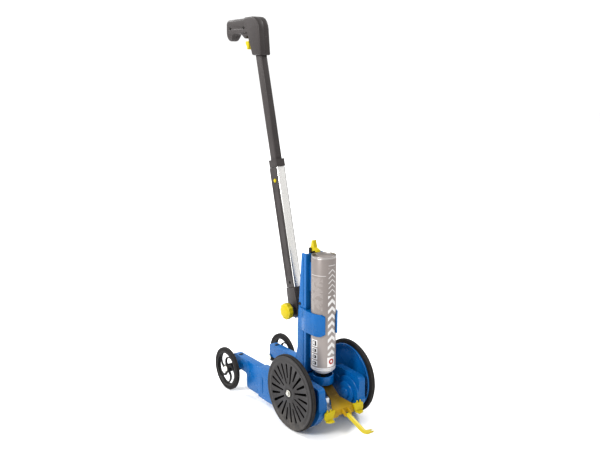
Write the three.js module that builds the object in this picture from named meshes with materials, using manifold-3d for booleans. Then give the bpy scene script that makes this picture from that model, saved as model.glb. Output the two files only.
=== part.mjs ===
// Four-wheeled line-marking applicator that sprays from an upturned aerosol can.
// Millimetres, +Z up. X is across the machine, the pointer leads toward -Y and the handle leans
// toward +Y. The origin is on the ground, under the middle of the bounding box.
// Dimensions below are measured from the front axle line (y = 0) and the ground (z = 0);
// ORIGIN_Y moves the finished model so that its bounding box is centred on the origin.
import * as THREE from 'three';
import { mergeVertices } from 'three/addons/utils/BufferGeometryUtils.js';
import Module from 'manifold-3d';

const wasm = await Module();
wasm.setup();

// ---------------------------------------------------------------- driving dimensions
const ORIGIN_Y = 122;             // middle of the overall length, from the front axle line
const GAP = 0.3;                  // clearance between neighbouring pieces

const FRONT_WHEEL_R = 100;
const FRONT_WHEEL_SIDES = 32;
const FRONT_TYRE = { xIn: 91.7, xOut: 102.6, rIn: 87.6 };
const FRONT_RIM = { xLip: 87, lipR: 89.4, xOut: 101.6 };
const HUB_CAP = { r: 96.5, xIn: 102.9, xOut: 105.4 };
const CAP_SLOTS = 22;

const REAR_AXLE_Y = 316;
const REAR_WHEEL_R = 61.5;
const REAR_WHEEL_SIDES = 28;
const REAR_WHEEL = { xIn: 93.1, xOut: 103.7, rimR: 51.6, spokes: 5 };

const ARM = { xIn: 51, xOut: 75, top: 102, bottom: 20, waistZ: 64, waistY: 248, front: 130, rear: 318 };
const SOCKET = { xIn: 48.2, xOut: 77.8, top: 105, bottom: 17, front: 36, rear: 185, wall: 2.6 };
const CROSS = { front: 36, rear: 104, top: 128, bottom: 62 };
const SHIELD = { xIn: 56, xOut: 76, front: -89, rear: 34, top: 132, arcR: 97, stepY: -47, stepZ: 79 };
const SHIELD_STEPS = [{ r: 44.5, xIn: 50.5 }, { r: 29.5, xIn: 44 }, { r: 15, xIn: 39 }];

const UPRIGHT = { halfX: 28, front: 29, wall: 3.2, bottom: 128.3, top: 450, lowBack: 67, highBack: 48, kneeZ: 249 };
const CAN = { y: -8.7, r: 32.5, bottom: 156, top: 453, wall: 1.2 };
const CLIP = { rIn: 33.2, rOut: 37, bottom: 244.5, top: 303, gapAngle: 30.5 };
const COLLAR = { rIn: 24, rOut: 28, bottom: 107, top: 131 };

const PIVOT = { y: 102, z: 280, boltR: 5 };
const LEAN = Math.atan(0.25);     // the handle leans back from the vertical
const LOWER_TUBE = { x: 24.4, y: 32.6, wall: 1.6, bottom: 34, top: 386.5 };
const UPPER_TUBE = { x: 20.6, y: 27.2, wall: 1.8, bottom: 330, top: 735 };
const RAIL = { xIn: 12.5, xOut: 14.3, front: -13, rear: 17.5, bottom: 61, top: 386 };
const BUTTON_W = 350.5;           // distance of the height button from the pivot, along the handle
const LOWER_HOLE_W = 65.5;        // distance of the lower height hole, along the handle
const GRIP = { halfX: 17, wall: 3.2 };
const TRIGGER_PIVOT = { y: 316, z: 1010 };
const GRIP_SCREWS = [[334, 1024], [402, 1024]];

const SKIRT_T = 3.2;              // thickness of the yellow spray skirt
const GUARD_Y = -98.6;            // front face of the width guards
const POINTER = { x: 6, y: -103.5, z: 50, tipY: -178, tipZ: 28 };

// ---------------------------------------------------------------- finishes
const finish = (color, roughness, metalness = 0) => ({ color, roughness, metalness });
const BLUE = finish(0x2a72bb, 0.42);
const YELLOW = finish(0xe6d21e, 0.45);
const DARK = finish(0x55524f, 0.6);
const TYRE = finish(0x3c3a38, 0.85);
const BLACK = finish(0x2b2a29, 0.6);
const SILVER = finish(0xc6c8ca, 0.3, 1);
const STEEL = finish(0xc9c9bf, 0.35, 1);
const PRINT = finish(0xa59c98, 0.4, 0.3);
const WHITE = finish(0xe4e4e2, 0.35, 0.2);

// ---------------------------------------------------------------- solids
function weld(geometry) {
  const bare = geometry.index ? geometry.toNonIndexed() : geometry.clone();
  for (const name of Object.keys(bare.attributes)) if (name !== 'position') bare.deleteAttribute(name);
  const merged = mergeVertices(bare, 1e-4);
  const corner = merged.index.array;
  const kept = [];
  for (let i = 0; i < corner.length; i += 3) {
    const [a, b, c] = [corner[i], corner[i + 1], corner[i + 2]];
    if (a !== b && b !== c && c !== a) kept.push(a, b, c);
  }
  merged.setIndex(kept);
  return merged;
}

function solid(shape) {
  if (!shape.isBufferGeometry) return shape;
  const welded = weld(shape);
  return new wasm.Manifold(new wasm.Mesh({
    numProp: 3,
    vertProperties: new Float32Array(welded.attributes.position.array),
    triVerts: new Uint32Array(welded.index.array),
  }));
}

function surface(shape) {
  if (shape.isBufferGeometry) return weld(shape);
  const mesh = shape.getMesh();
  const geometry = new THREE.BufferGeometry();
  geometry.setAttribute('position', new THREE.BufferAttribute(new Float32Array(mesh.vertProperties), 3));
  geometry.setIndex(new THREE.BufferAttribute(new Uint32Array(mesh.triVerts), 1));
  return geometry;
}

const join = (...shapes) => shapes.map(solid).reduce((a, b) => a.add(b));
const cut = (shape, ...tools) => tools.map(solid).reduce((a, b) => a.subtract(b), solid(shape));
const common = (a, b) => solid(a).intersect(solid(b));

// ---------------------------------------------------------------- shapes
const box = (x0, x1, y0, y1, z0, z1) =>
  new THREE.BoxGeometry(x1 - x0, y1 - y0, z1 - z0).translate((x0 + x1) / 2, (y0 + y1) / 2, (z0 + z1) / 2);

// Turns corners [u, v, radius] into an outline; corners without a radius stay sharp.
function rounded(corners, steps = 4) {
  const points = [];
  corners.forEach(([u, v, r = 0], i) => {
    if (!r) { points.push(new THREE.Vector2(u, v)); return; }
    const here = new THREE.Vector2(u, v);
    const before = new THREE.Vector2(...corners.at(i - 1).slice(0, 2)).sub(here);
    const after = new THREE.Vector2(...corners[(i + 1) % corners.length].slice(0, 2)).sub(here);
    const reach = Math.min(r, 0.48 * before.length(), 0.48 * after.length());
    const start = before.setLength(reach).add(here);
    const end = after.setLength(reach).add(here);
    for (const p of new THREE.QuadraticBezierCurve(start, here, end).getPoints(steps)) points.push(p);
  });
  return points;
}

const rect = (u0, u1, v0, v1, r = 0, steps = 3) =>
  rounded([[u0, v0, r], [u1, v0, r], [u1, v1, r], [u0, v1, r]], steps);

const ring = (u, v, r, sides, turn = 0) => Array.from({ length: sides }, (_, i) =>
  new THREE.Vector2(u + r * Math.cos(turn + 2 * Math.PI * i / sides), v + r * Math.sin(turn + 2 * Math.PI * i / sides)));

function extrude(points, depth, holes = []) {
  const shape = new THREE.Shape(points);
  for (const hole of holes) shape.holes.push(new THREE.Path(hole));
  return new THREE.ExtrudeGeometry(shape, { depth, bevelEnabled: false });
}

// Outlines drawn in (y, z), (x, z) and (x, y), pushed along the third axis.
const alongX = (points, x0, x1, holes) => {
  const g = extrude(points, x1 - x0, holes);
  g.applyMatrix4(new THREE.Matrix4().set(0, 0, 1, x0, 1, 0, 0, 0, 0, 1, 0, 0, 0, 0, 0, 1));
  return g;
};
const alongY = (points, y0, y1, holes) => extrude(points, y1 - y0, holes).rotateX(Math.PI / 2).translate(0, y1, 0);
const alongZ = (points, z0, z1, holes) => extrude(points, z1 - z0, holes).translate(0, 0, z0);

// Revolves a closed (radius, axial) profile; one flat faces straight down when the axis is across.
function turned(profile, sides) {
  let area = 0;
  profile.forEach(([r, a], i) => {
    const [r2, a2] = profile[(i + 1) % profile.length];
    area += r * a2 - r2 * a;
  });
  const order = area > 0 ? profile : [...profile].reverse();
  const onAxis = order.findIndex(([r], i) => r === 0 && order[(i + order.length - 1) % order.length][0] === 0);
  const points = onAxis >= 0 ? [...order.slice(onAxis), ...order.slice(0, onAxis)] : [...order, order[0]];
  return new THREE.LatheGeometry(points.map(([r, a]) => new THREE.Vector2(r, a)), sides, Math.PI / sides);
}
const turnedX = (profile, sides, y, z) => turned(profile, sides).rotateZ(-Math.PI / 2).translate(0, y, z);
const turnedZ = (profile, sides, x, y) => turned(profile, sides).rotateX(Math.PI / 2).translate(x, y, 0);
const rod = (r, x0, x1, y, z, sides = 16) => turnedX([[0, x0], [r, x0], [r, x1], [0, x1]], sides, y, z);
const post = (r, z0, z1, x, y, sides = 16) => turnedZ([[0, z0], [r, z0], [r, z1], [0, z1]], sides, x, y);

// The same piece for the other side of the machine.
const otherSide = (shape) => {
  const mirrored = surface(shape).clone().scale(-1, 1, 1);
  const corner = mirrored.index.array;
  for (let i = 0; i < corner.length; i += 3) [corner[i], corner[i + 1]] = [corner[i + 1], corner[i]];
  return mirrored;
};

// ---------------------------------------------------------------- assembly
const machine = new THREE.Group();
machine.position.y = -ORIGIN_Y;
const handle = new THREE.Group();           // measured along the leaning handle, from its pivot
handle.position.set(0, PIVOT.y, PIVOT.z);
handle.rotation.x = -LEAN;
machine.add(handle);

function add(name, shape, look, parent = machine) {
  const geometry = surface(shape).toNonIndexed();
  geometry.computeVertexNormals();
  const mesh = new THREE.Mesh(geometry, new THREE.MeshStandardMaterial({ ...look, flatShading: true }));
  mesh.name = name;
  parent.add(mesh);
}

function addPair(name, shape, look) {
  add(`${name}_right`, shape, look);
  add(`${name}_left`, otherSide(shape), look);
}

// ---------------------------------------------------------------- front wheels
function frontTyre() {
  const R = FRONT_WHEEL_R / Math.cos(Math.PI / FRONT_WHEEL_SIDES);
  const { xIn, xOut, rIn } = FRONT_TYRE;
  return turnedX([[rIn, xIn], [R - 2.5, xIn], [R, xIn + 2.2], [R, xOut - 2.2], [R - 2.5, xOut], [rIn, xOut]],
    FRONT_WHEEL_SIDES, 0, FRONT_WHEEL_R);
}

function frontDish() {
  const { xLip, lipR, xOut } = FRONT_RIM;
  const profile = [[6.4, 89], [15, 89], [18, 95], [72, 95], [84, xLip], [lipR, xLip], [lipR, 91.3], [87.2, 91.3],
    [87.2, xOut], [84.4, xOut], [84.4, 92.5], [74, 98.2], [15, 98.2], [6.4, xOut]];
  return turnedX(profile, FRONT_WHEEL_SIDES, 0, FRONT_WHEEL_R);
}

function frontHubCap() {
  const { r, xIn, xOut } = HUB_CAP;
  const disc = turnedX([[7, xIn], [r, xIn], [r, xIn + 0.8], [r - 2.4, xOut], [7, xOut]], FRONT_WHEEL_SIDES, 0, FRONT_WHEEL_R);
  const slots = Array.from({ length: CAP_SLOTS }, (_, i) => {
    const inner = i % 2 ? 48 : 27;
    const outer = i % 2 ? 70 : 76;
    const outline = [[inner, 0], [inner + 2, -2.2], [outer - 2, -2.2], [outer, 0], [outer - 2, 2.2], [inner + 2, 2.2]];
    return alongX(outline.map(([u, v]) => new THREE.Vector2(u, v)), xIn - 1, xOut + 1)
      .rotateX(2 * Math.PI * i / CAP_SLOTS).translate(0, 0, FRONT_WHEEL_R);
  });
  return cut(disc, ...slots);
}

addPair('front_tyre', frontTyre(), TYRE);
addPair('front_wheel_dish', frontDish(), BLUE);
addPair('front_hub_cap', frontHubCap(), DARK);
addPair('stub_axle', turnedX([[0, 54], [9, 54], [9, 57.5], [6, 57.5], [6, 102], [3.3, 102], [3.3, 84], [0, 84]], 16, 0, 100),
  STEEL);
addPair('wheel_bolt', turnedX([[0, 86], [3, 86], [3, 105.9], [9, 105.9], [9, 107.1], [6, 107.1], [6, 109.6],
  [4.6, 111], [0, 111]], 16, 0, 100), STEEL);

// ---------------------------------------------------------------- rear wheels
function rearTyre() {
  const R = REAR_WHEEL_R / Math.cos(Math.PI / REAR_WHEEL_SIDES);
  const { xIn, xOut, rimR } = REAR_WHEEL;
  return turnedX([[rimR, xIn], [R - 2, xIn], [R, xIn + 2], [R, xOut - 2], [R - 2, xOut], [rimR, xOut]],
    REAR_WHEEL_SIDES, REAR_AXLE_Y, REAR_WHEEL_R);
}

// A rim, a hub and five spokes that curve the same way, cut as windows from one disc.
function rearRim() {
  const { xIn, xOut, rimR, spokes } = REAR_WHEEL;
  const outer = rimR - GAP;
  const hub = 12;
  const span = 2 * Math.PI / spokes;
  const steps = 5;
  const edge = (i, side) => {
    const r = 15 + 28.5 * i / steps;
    return [r, 0.9 * (i / steps) ** 2 + (side ? span - 3.6 / r : 3.6 / r)];
  };
  const up = Array.from({ length: steps + 1 }, (_, i) => edge(i, 0));
  const down = Array.from({ length: steps + 1 }, (_, i) => edge(steps - i, 1));
  const rim = [0.25, 0.5, 0.75].map((t) => [up.at(-1)[0], up.at(-1)[1] + (down[0][1] - up.at(-1)[1]) * t]);
  const window = [...up, ...rim, ...down];
  const disc = join(
    turnedX([[hub - 5.6, 77.5], [hub, 77.5], [hub, xOut - 1], [hub - 5.6, xOut - 1]], 20, REAR_AXLE_Y, REAR_WHEEL_R),
    turnedX([[hub - 5.6, 96.4], [46, 96.4], [46, xIn], [outer, xIn], [outer, xOut - 0.4], [46, xOut - 0.4],
      [46, 100.8], [hub - 5.6, 100.8]], REAR_WHEEL_SIDES, REAR_AXLE_Y, REAR_WHEEL_R));
  const windows = Array.from({ length: spokes }, (_, k) => {
    const outline = window.map(([r, a]) => new THREE.Vector2(r * Math.cos(a + k * span), r * Math.sin(a + k * span)));
    return alongX(outline, 90, 110).translate(0, REAR_AXLE_Y, REAR_WHEEL_R);
  });
  return cut(disc, ...windows);
}

addPair('rear_tyre', rearTyre(), TYRE);
addPair('rear_rim', rearRim(), DARK);
addPair('rear_axle', turnedX([[0, 47.5], [9, 47.5], [9, 50], [6, 50], [6, 103.2], [8.6, 103.2], [8.6, 105.2], [0, 106]], 16,
  REAR_AXLE_Y, REAR_WHEEL_R), STEEL);

// ---------------------------------------------------------------- rear arms
function rearArm() {
  const { xIn, xOut, top, bottom, waistZ, waistY, front, rear } = ARM;
  const outline = rounded([[front, bottom, 4], [waistY, bottom, 10], [waistY, waistZ, 9], [rear, waistZ, 3],
    [rear, top, 4], [front, top, 4]], 3);
  const hollow = join(box(xIn + 3, xOut - 3, front + 3, waistY - 3, bottom - 5, top - 3),
    box(xIn + 3, xOut - 3, waistY - 4, waistY + 4, waistZ + 4, top - 3),
    box(xIn + 3, xOut - 3, waistY + 3, rear - 3, waistZ - 5, top - 3));
  return cut(alongX(outline, xIn, xOut), hollow, rod(6.4, xIn - 2, xOut + 2, REAR_AXLE_Y, REAR_WHEEL_R));
}

// Saddle under the arm's rear end; its upper part fills the arm's channel.
function axleBlock() {
  const { xIn, xOut } = ARM;
  const saddle = alongX(rounded([[303, 50, 5], [329, 50, 5], [329, 63.6], [303, 63.6]], 3), xIn + 0.4, xOut - 0.4);
  const filler = box(xIn + 3.4, xOut - 3.4, 290, 314.6, 63, 92);
  return cut(join(saddle, filler), rod(6.3, xIn - 5, xOut + 5, REAR_AXLE_Y, REAR_WHEEL_R));
}

addPair('rear_arm', rearArm(), BLUE);
addPair('axle_block', axleBlock(), BLACK);

// ---------------------------------------------------------------- chassis frame
function chassisFrame() {
  const s = SOCKET;
  const w = s.wall;
  const side = alongX(rounded([[s.front, 40, 4], [58, s.bottom, 5], [s.rear, s.bottom, 4], [s.rear, s.top, 3],
    [s.front, s.top, 4]], 3), s.xIn, s.xOut);
  const cross = alongX(rounded([[CROSS.front, CROSS.bottom, 3], [CROSS.rear, CROSS.bottom, 4],
    [CROSS.rear, s.top, 4], [CROSS.rear - 26, CROSS.top, 8], [CROSS.front, CROSS.top, 4]], 3), -60, 60);
  const gusset = alongX([[100, s.top - 1], [148, s.top - 1], [148, s.top + 2], [104, s.top + 16], [98, s.top + 14]]
    .map(([u, v]) => new THREE.Vector2(u, v)), 52, 60);
  const socketVoid = box(s.xIn + w, s.xOut - w, 126, s.rear + 5, s.bottom + w, s.top - w);
  const sideVoid = box(s.xIn + w, s.xOut - w, 62, 123, s.bottom - 5, s.top - w);
  const crossVoid = join(box(-s.xIn + 2, s.xIn - 2, CROSS.front + 3, CROSS.rear - 3, CROSS.bottom - 5, s.top - 4),
    box(-s.xIn + 2, s.xIn - 2, CROSS.front + 3, 74, s.top - 5, CROSS.top - 4));
  const groove = box(s.xOut - 1.2, s.xOut + 1, 160, 164, 35, 78);
  const both = (g) => join(g, otherSide(g));
  return cut(join(both(side), cross, both(gusset)), both(socketVoid), both(sideVoid), crossVoid, both(groove));
}
add('chassis_frame', chassisFrame(), BLUE);

// ---------------------------------------------------------------- side shields
function sideShield() {
  const s = SHIELD;
  const arc = [];
  for (let i = 0; i <= 10; i += 1) {
    const a = Math.PI * (1.5 - 0.405 * (i / 10));
    arc.push([s.arcR * Math.cos(a), FRONT_WHEEL_R + s.arcR * Math.sin(a)]);
  }
  const outline = rounded([[s.rear, 12, 6], ...arc, [s.front, 78], [s.front, s.top, 14], [8, s.top + 3, 10], [s.rear, 118, 8]], 4);
  const plate = alongX(outline, s.xIn, s.xOut);
  const steps = SHIELD_STEPS.map(({ r, xIn }) =>
    common(rod(r, xIn, s.xIn + 1, s.stepY, s.stepZ, 28), alongX(outline, 0, s.xOut)));
  const hollow = common(rod(84, s.xIn + 3, s.xOut + 5, 0, FRONT_WHEEL_R, 24),
    box(0, 120, s.front + 4, s.rear - 4, 18, s.top - 4));
  const boss = rod(13, s.xIn, s.xOut, 0, FRONT_WHEEL_R, 20);
  return cut(join(cut(join(plate, ...steps), hollow), boss), rod(6.3, 50, 90, 0, FRONT_WHEEL_R),
    rod(9.3, 40, 57.8, 0, FRONT_WHEEL_R));
}
addPair('side_shield', sideShield(), BLUE);

// ---------------------------------------------------------------- upright, clip and collar
function upright() {
  const u = UPRIGHT;
  const side = rounded([[u.front, u.bottom], [u.lowBack + 16, u.bottom], [u.lowBack, u.bottom + 60], [u.lowBack, u.kneeZ],
    [u.highBack, u.top, 3], [u.front, u.top, 3]], 3);
  const shell = alongX(side, -u.halfX, u.halfX);
  const hollow = box(-u.halfX + u.wall, u.halfX - u.wall, u.front + u.wall, 120, u.bottom + 4, u.top + 5);
  const cradle = (z0, z1) => cut(box(-16, 16, 20, u.front + 1, z0, z1), post(CAN.r + 0.7, z0 - 1, z1 + 1, 0, CAN.y, 32));
  const ribs = [200, 330].map((z) => box(-u.halfX + 1, u.halfX - 1, u.front + 1, 46, z, z + 3));
  const window = box(-9, 9, u.front - 12, u.front + 5, 440, u.top + 5);
  return cut(join(cut(shell, hollow), cradle(168, 222), cradle(352, 428), ...ribs),
    box(-4.5, 4.5, 35.5, 50, 199, 334), window);
}
add('upright', upright(), BLUE);

function canClip() {
  const c = CLIP;
  const from = -Math.PI / 2 + THREE.MathUtils.degToRad(c.gapAngle);
  const sweep = 2 * Math.PI - 2 * THREE.MathUtils.degToRad(c.gapAngle);
  const arc = (r, a0, a1, n) => Array.from({ length: n + 1 }, (_, i) => {
    const a = a0 + (a1 - a0) * i / n;
    return new THREE.Vector2(r * Math.cos(a), CAN.y + r * Math.sin(a));
  });
  const band = alongZ([...arc(c.rOut, from, from + sweep, 30), ...arc(c.rIn, from + sweep, from, 30)], c.bottom, c.top);
  const root = alongZ(rect(-13, 13, 20, UPRIGHT.front - GAP), c.bottom + 6, c.top - 6);
  const arms = cut(alongZ(rounded([[-c.rOut, CAN.y], [c.rOut, CAN.y], [c.rOut, 24, 12], [UPRIGHT.halfX + 3.4, 44], [UPRIGHT.halfX + 3.4, 58, 2],
    [-UPRIGHT.halfX - 3.4, 58, 2], [-UPRIGHT.halfX - 3.4, 44], [-c.rOut, 24, 12]], 4), c.bottom, c.top),
  box(-UPRIGHT.halfX - GAP, UPRIGHT.halfX + GAP, 22, 70, 200, 340), post(c.rIn, 200, 340, 0, CAN.y, 32));
  const seat = post(c.rIn, c.bottom - 1, c.top + 1, 0, CAN.y, 32);
  const tips = [1, -1].map((s) => {
    const tool = alongX(rounded([[-45, c.bottom - 1], [-33, c.bottom - 1], [-45, c.bottom + 11]], 1), -60, 60);
    return s > 0 ? tool : alongX(rounded([[-45, c.top + 1], [-45, c.top - 11], [-33, c.top + 1]], 1), -60, 60);
  });
  return cut(join(band, arms, cut(root, seat)), ...tips);
}
add('can_clip', canClip(), BLUE);

function nozzleHolder() {
  const c = COLLAR;
  const cup = turnedZ([[9, c.bottom], [c.rOut - 2, c.bottom], [c.rOut, c.bottom + 3], [c.rOut, c.top], [c.rIn, c.top],
    [c.rIn, c.bottom + 4], [9, c.bottom + 4]], 24, 0, CAN.y);
  const bridge = cut(alongZ(rounded([[-20, 10], [20, 10], [24, CROSS.front - GAP], [-24, CROSS.front - GAP]], 1),
    c.bottom, c.top - 7), post(c.rOut - 1, 100, 140, 0, CAN.y, 28));
  return join(cup, bridge);
}
add('nozzle_holder', nozzleHolder(), BLUE);

// ---------------------------------------------------------------- can and spray nozzle
const canBody = turnedZ([[27.5, 147.6], [29.6, 149.2], [CAN.r, CAN.bottom + 1.5], [CAN.r, 449.5], [31.4, 453], [30, 453],
  [29.6, 449.2], [18, 445.6], [0, 444.2], [0, 443], [28.2, 446.6], [31.2, 447.2],
  [31.2, CAN.bottom + 2], [27.5, 150.2]], 28, 0, CAN.y);
add('can_body', canBody, PRINT);
add('can_shoulder', turnedZ([[16.4, 137.2], [18.4, 137.2], [20, 139.4], [26, 142.4], [29, 146.4],
  [27, 147.2], [25, 145], [16.4, 141]], 28, 0, CAN.y), WHITE);
add('valve_cup', turnedZ([[0, 126], [2, 126], [2, 132.4], [14, 132.4], [16, 134], [16, 139.6], [14.4, 139.6],
  [13, 135.4], [5, 135.4], [5, 150], [0, 150]], 20, 0, CAN.y), BLACK);
add('spray_nozzle', turnedZ([[0, 105.8], [1.4, 105.8], [1.4, 107], [8.6, 107], [8.6, 111.4], [10.4, 111.4], [10.4, 114],
  [6.5, 116], [6.5, 128], [2.4, 128], [2.4, 121], [0, 121]], 16, 0, CAN.y), BLACK);

// ---------------------------------------------------------------- can press
function pressRod() {
  const shaft = post(4, 300, 446, 0, 40, 12);
  const shoulder = post(7.2, 352, 355.4, 0, 40, 12);
  const head = box(-8, 8, 35, 45, 444, 452);
  const lugs = [-1, 1].map((s) => box(s > 0 ? 5.6 : -8, s > 0 ? 8 : -5.6, 35, 45, 451, 462));
  return join(shaft, shoulder, head, ...lugs, rod(1.6, -8, 8, 40, 458, 8));
}
add('press_rod', pressRod(), BLACK);

const hookOutline = rounded([[11.5, 454.6, 1.5], [19, 453.5], [24, 457], [34, 453.4], [40, 452.5], [43.8, 454], [45.4, 458],
  [43.8, 462], [39.5, 466], [36.4, 482, 2.2], [30.4, 484, 2], [28.8, 478], [25, 464, 3], [15, 461.5, 2.5]], 3);
add('press_hook', cut(alongX(hookOutline, -5.2, 5.2), rod(1.9, -9, 9, 40, 458, 10)), YELLOW);
add('press_guide', cut(join(box(-24.5, 24.5, 33, 46, 404, 410), box(-10, 10, 32.6, 47.4, 396, 411)),
  post(4.3, 390, 420, 0, 40, 16)), BLACK);
add('press_spring', alongZ(ring(0, 40, 6.8, 14), 333.3, 351.7, [ring(0, 40, 4.6, 14)]), STEEL);

// ---------------------------------------------------------------- handle pivot
function handleBracket() {
  const tongue = alongX(rounded([[46.6, 248], [88, 262, 10], [102, 254.6], [118, 260], [128, 278], [124, 294], [112, 304],
    [98, 305], [74, 304, 8], [46.6, 310]], 3), -10, 10);
  const foot = box(-24.4, 24.4, 46.6, 50, 236, 322);
  const rodClear = box(-8, 8, 30, 48.2, 290, 330);
  return cut(join(cut(tongue, box(-7, 7, 54, 76, 240, 320)), cut(foot, rodClear)),
    rod(PIVOT.boltR + GAP, -12, 12, PIVOT.y, PIVOT.z));
}
add('handle_bracket', handleBracket(), BLUE);
addPair('bracket_screw', rod(4.6, UPRIGHT.halfX + GAP, UPRIGHT.halfX + 2.6, 56, 312, 12), STEEL);
add('pivot_bolt', turnedX([[0, -26], [PIVOT.boltR, -26], [PIVOT.boltR, 16.2], [10, 16.2], [10, 20.8], [8.5, 22.2], [0, 22.2]], 16,
  PIVOT.y, PIVOT.z), STEEL);

// Lobed clamp knob, threaded on the bolt's end.
function clampKnob() {
  const lobes = 10;
  const outline = Array.from({ length: lobes * 4 }, (_, i) => {
    const a = 2 * Math.PI * i / (lobes * 4);
    const r = 19.4 + 0.7 * Math.cos(lobes * a);
    return new THREE.Vector2(PIVOT.y + r * Math.cos(a), PIVOT.z + r * Math.sin(a));
  });
  const body = alongX(outline, -44, -31);
  const face = turnedX([[0, -47.6], [13, -47.6], [17, -44.2], [0, -43.8]], 24, PIVOT.y, PIVOT.z);
  const neck = rod(14, -31.2, -16.2, PIVOT.y, PIVOT.z, 20);
  return cut(join(body, face, neck), rod(PIVOT.boltR + GAP, -28.5, -10, PIVOT.y, PIVOT.z));
}
add('clamp_knob', clampKnob(), YELLOW);

// ---------------------------------------------------------------- handle, lower section
function handleFork() {
  const cheek = (x0, x1) => alongX(rounded([[-20, -20, 16], [20, -20, 16], [21, 14, 6], [18.5, 60], [-18.5, 60], [-21, 14, 6]], 5), x0, x1);
  const socket = box(-15.8, 15.8, -18.5, 18.5, 31, 60);
  const opening = box(-LOWER_TUBE.x / 2 - GAP, LOWER_TUBE.x / 2 + GAP, -LOWER_TUBE.y / 2 - GAP, LOWER_TUBE.y / 2 + GAP, 34 - GAP, 70);
  const bore = rod(PIVOT.boltR + GAP, -30, 30, 0, 0);
  const throat = box(-8, 8, -11, 11, 25, 40);
  return cut(join(cheek(-15.8, -10.4), cheek(10.4, 15.8), socket), opening, bore, throat);
}

function tube({ x, y, wall, bottom, top }) {
  return alongZ(rect(-x / 2, x / 2, -y / 2, y / 2, 4), bottom, top,
    [rect(-x / 2 + wall, x / 2 - wall, -y / 2 + wall, y / 2 - wall, 3)]);
}

// Side rail: a strip with a lip along its rear edge; the left one has the two height holes.
function rail(side) {
  const { xIn, xOut, front, rear, bottom, top } = RAIL;
  const strip = join(box(xIn, xOut, front, rear, bottom, top), box(xIn - 3, xOut, rear - 1, rear + 0.6, bottom, top));
  if (side > 0) return strip;
  return cut(otherSide(strip), rod(7.9, -20, -5, 0, BUTTON_W, 18), rod(7.9, -20, -5, 0, LOWER_HOLE_W + 8, 18));
}

add('handle_fork', handleFork(), DARK, handle);
add('lower_tube', cut(tube(LOWER_TUBE), rod(7.9, -20, -5, 0, BUTTON_W, 18)), SILVER, handle);
add('rail_right', rail(1), DARK, handle);
add('rail_left', rail(-1), DARK, handle);
add('tube_collar', alongZ(rect(-15.2, 15.2, -18.8, 18.8, 5), 387, 407, [rect(-10.6, 10.6, -13.9, 13.9, 3)]), DARK, handle);
add('height_button', turnedX([[0, -17.4], [5.6, -17.4], [7.5, -16.4], [7.5, -13], [0, -13]], 18, 0, BUTTON_W), YELLOW, handle);

// ---------------------------------------------------------------- handle, upper section and grip
add('upper_tube', tube(UPPER_TUBE), DARK, handle);

const GRIP_OUTLINE = rounded([[248.6, 950, 2], [250.6, 958], [256, 1043, 16], [276, 1052], [404, 1050, 12], [422, 1044, 12],
  [422, 1006, 9], [416, 990, 7], [403, 990, 7], [395, 1008.5, 8], [352, 1009.5, 8], [342, 1001], [334, 995.5, 3],
  [327.5, 996, 2], [324, 1003, 2], [306, 1003, 3], [298, 985], [291.6, 958], [290.4, 950, 2]], 3);

function gripShell() {
  const outer = alongX(GRIP_OUTLINE, GAP / 2, GRIP.halfX);
  const core = alongX(rounded([[262, 1030, 6], [276, 1046], [404, 1044, 8], [416, 1040, 6], [416, 1014, 4], [392, 1014, 4],
    [352, 1015.5], [327, 1015], [311, 1012], [299, 1004], [292, 992], [262, 988]], 2), -1, GRIP.halfX - GRIP.wall);
  const bosses = GRIP_SCREWS.map(([y, z]) => rod(3.6, GAP / 2, GRIP.halfX - 1, y, z, 10));
  const screwWays = GRIP_SCREWS.map(([y, z]) => rod(1.8, -1, 14, y, z, 10));
  const tubeWay = extrude(rect(-UPPER_TUBE.x / 2 - GAP, UPPER_TUBE.x / 2 + GAP, -UPPER_TUBE.y / 2 - GAP,
    UPPER_TUBE.y / 2 + GAP, 3), UPPER_TUBE.top - 660).translate(0, 0, 660 + 1).rotateX(-LEAN).translate(0, PIVOT.y, PIVOT.z);
  const slot = box(-1, 7, 307.5, 324.4, 990, 1016);
  const pinWay = rod(1.9, -1, 12, TRIGGER_PIVOT.y, TRIGGER_PIVOT.z, 10);
  const springWay = box(-1, 10.4, 309, 323, 1004, 1016);
  return cut(join(cut(outer, core), ...bosses), tubeWay, slot, springWay, pinWay, ...screwWays);
}
const gripRight = gripShell();
add('grip_shell_right', gripRight, DARK);
add('grip_shell_left', cut(otherSide(gripRight), ...GRIP_SCREWS.map(([y, z]) => rod(3.3, -18, -14.6, y, z, 10)),
  ...GRIP_SCREWS.map(([y, z]) => rod(1.8, -15, 0, y, z, 10))), DARK);
GRIP_SCREWS.forEach(([y, z], i) => add(`grip_screw_${i + 1}`, turnedX([[0, -17], [3, -17], [3, -14.9], [1.5, -14.9],
  [1.5, 12], [0, 12]], 10, y, z), STEEL));

const triggerOutline = rounded([[310.4, 1014, 3], [321.6, 1014, 3], [322, 1000], [321, 984], [324.4, 973, 2], [318.4, 969, 2],
  [311.4, 975, 3], [309, 992]], 3);
add('trigger', cut(alongX(triggerOutline, -6.4, 6.4), rod(2, -9, 9, TRIGGER_PIVOT.y, TRIGGER_PIVOT.z, 12)), YELLOW);
add('trigger_pin', rod(1.6, -11.5, 11.5, TRIGGER_PIVOT.y, TRIGGER_PIVOT.z, 10), STEEL);
add('trigger_spring', turnedX([[3.2, -9.6], [4.6, -9.6], [4.6, -7.2], [3.2, -7.2]], 12, TRIGGER_PIVOT.y, TRIGGER_PIVOT.z), STEEL);
add('pull_cable', post(1.6, UPPER_TUBE.bottom + 6, UPPER_TUBE.top + 13, 0, 4, 8), BLACK, handle);

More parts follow.
